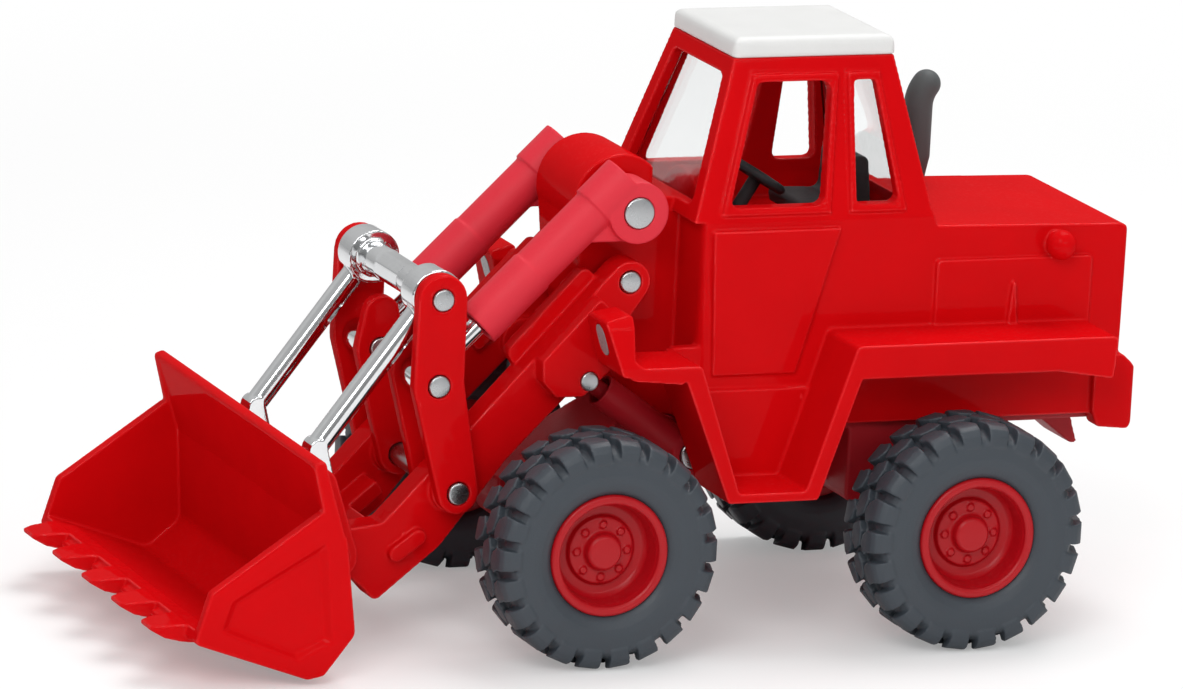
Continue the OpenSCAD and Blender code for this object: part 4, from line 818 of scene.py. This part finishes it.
class LOADER_OT_stage(bpy.types.Operator):
    """Set the floor, the light and the camera"""
    bl_idname = "loader.stage"
    bl_label = "Stage"

    def execute(self, context):
        scene = context.scene
        stage = scene.loader_stage
        scene.view_settings.view_transform = "Standard"
        self.make_floor(stage)
        self.make_surround(scene, stage)
        for name, place, aim, size, share in PANELS:
            soft_panel(name, place, aim, size, stage.key_power * share)
        self.make_camera(scene, stage)
        return {"FINISHED"}

    def make_floor(self, stage):
        """A wide pale disc that keeps the shadow near the toy and fades to the white surround."""
        mesh = bpy.data.meshes.new("Floor")
        work = bmesh.new()
        bmesh.ops.create_circle(work, cap_ends=True, segments=96, radius=FLOOR_RADIUS)
        work.to_mesh(mesh)
        work.free()
        floor = bpy.data.objects.new("Floor", mesh)
        bpy.context.scene.collection.objects.link(floor)
        look = bpy.data.materials.new("Pale Floor")
        look.use_nodes = True
        tree = look.node_tree
        shader = tree.nodes["Principled BSDF"]
        shader.inputs["Base Color"].default_value = (*stage.floor, 1.0)
        shader.inputs["Roughness"].default_value = 0.55
        place = node_of(tree, "ShaderNodeTexCoord")
        reach = node_of(tree, "ShaderNodeVectorMath", operation="LENGTH")
        tree.links.new(place.outputs["Object"], reach.inputs[0])
        fade = ranged(tree, reach.outputs["Value"], start=0.1, end=0.3, low=0.3, kind="SMOOTHSTEP")
        path = node_of(tree, "ShaderNodeLightPath")
        seen = reckoned(tree, "MULTIPLY", path.outputs["Is Camera Ray"], fade)
        white = node_of(tree, "ShaderNodeEmission")
        blend = node_of(tree, "ShaderNodeMixShader")
        tree.links.new(seen, blend.inputs[0])
        tree.links.new(shader.outputs[0], blend.inputs[1])
        tree.links.new(white.outputs[0], blend.inputs[2])
        tree.links.new(blend.outputs[0], tree.nodes["Material Output"].inputs["Surface"])
        mesh.materials.append(look)

    def make_surround(self, scene, stage):
        """A white studio surround, dimmer towards the horizon so that metal shows some contrast."""
        world = bpy.data.worlds.new("Studio")
        scene.world = world
        world.use_nodes = True
        tree = world.node_tree
        back = tree.nodes["Background"]
        place = node_of(tree, "ShaderNodeTexCoord")
        split = node_of(tree, "ShaderNodeSeparateXYZ")
        tree.links.new(place.outputs["Generated"], split.inputs[0])
        rise = ranged(tree, split.outputs["Z"], start=-0.05, end=0.6, low=0.45 * stage.sky,
                      high=stage.sky, kind="SMOOTHSTEP")
        behind = ranged(tree, split.outputs["Y"], start=0.1, end=-0.6, high=0.3, kind="SMOOTHSTEP")
        path = node_of(tree, "ShaderNodeLightPath")
        mirrored = reckoned(tree, "MULTIPLY", path.outputs["Is Glossy Ray"], behind)
        straight = reckoned(tree, "MAXIMUM", path.outputs["Is Camera Ray"],
                            path.outputs["Is Transmission Ray"])
        shown = reckoned(tree, "MAXIMUM", straight, mirrored)
        strength = node_of(tree, "ShaderNodeMix", data_type="FLOAT")
        tree.links.new(shown, strength.inputs[0])
        tree.links.new(rise, strength.inputs[2])
        strength.inputs[3].default_value = 1.0
        back.inputs["Color"].default_value = (1.0, 1.0, 1.0, 1.0)
        tree.links.new(strength.outputs[0], back.inputs["Strength"])

    def make_camera(self, scene, stage):
        """The camera at the photo's angle."""
        data = bpy.data.cameras.new("Photo Camera")
        camera = bpy.data.objects.new("Photo Camera", data)
        scene.collection.objects.link(camera)
        az, el = stage.azimuth, stage.elevation
        back = Vector((math.sin(az) * math.cos(el), math.cos(az) * math.cos(el), math.sin(el)))
        turn = (-back).to_track_quat("-Z", "Y").to_matrix() @ Matrix.Rotation(stage.roll, 3, "Z")
        place = Vector(stage.aim) + back * stage.distance
        camera.matrix_world = Matrix.Translation(place) @ turn.to_4x4()
        data.sensor_fit = "HORIZONTAL"
        data.sensor_width = 36.0
        data.lens = stage.lens
        data.clip_start, data.clip_end = 0.01, 20.0
        scene.camera = camera


# Sidebar panel and registration

class LOADER_PT_panel(bpy.types.Panel):
    """Lists the steps that dress the loader"""
    bl_idname = "LOADER_PT_panel"
    bl_label = "Front Loader"
    bl_space_type = "VIEW_3D"
    bl_region_type = "UI"
    bl_category = "Front Loader"

    def draw(self, context):
        for step in STEPS:
            self.layout.operator("loader." + step)
        for group in ("loader_finishes", "loader_forms", "loader_stage"):
            settings = getattr(context.scene, group)
            for name in settings.bl_rna.properties.keys():
                if name not in ("rna_type", "name"):
                    self.layout.prop(settings, name)


STEPS = ("finishes", "castings", "wheels", "cab", "cylinders", "underbody", "pins", "stage")
CLASSES = (LoaderFinishes, LoaderForms, LoaderStage, LOADER_OT_finishes, LOADER_OT_castings,
           LOADER_OT_wheels, LOADER_OT_cab, LOADER_OT_cylinders, LOADER_OT_underbody, LOADER_OT_pins,
           LOADER_OT_stage, LOADER_PT_panel)


def register():
    """Adds the add-on's classes and settings."""
    for cls in CLASSES:
        bpy.utils.register_class(cls)
    bpy.types.Scene.loader_finishes = bpy.props.PointerProperty(type=LoaderFinishes)
    bpy.types.Scene.loader_forms = bpy.props.PointerProperty(type=LoaderForms)
    bpy.types.Scene.loader_stage = bpy.props.PointerProperty(type=LoaderStage)


def unregister():
    """Takes the add-on's settings and classes away again."""
    for name in ("loader_stage", "loader_forms", "loader_finishes"):
        delattr(bpy.types.Scene, name)
    for cls in reversed(CLASSES):
        bpy.utils.unregister_class(cls)


def main():
    """Runs every step."""
    register()
    for step in STEPS:
        getattr(bpy.ops.loader, step)()


if __name__ == "__main__":
    main()
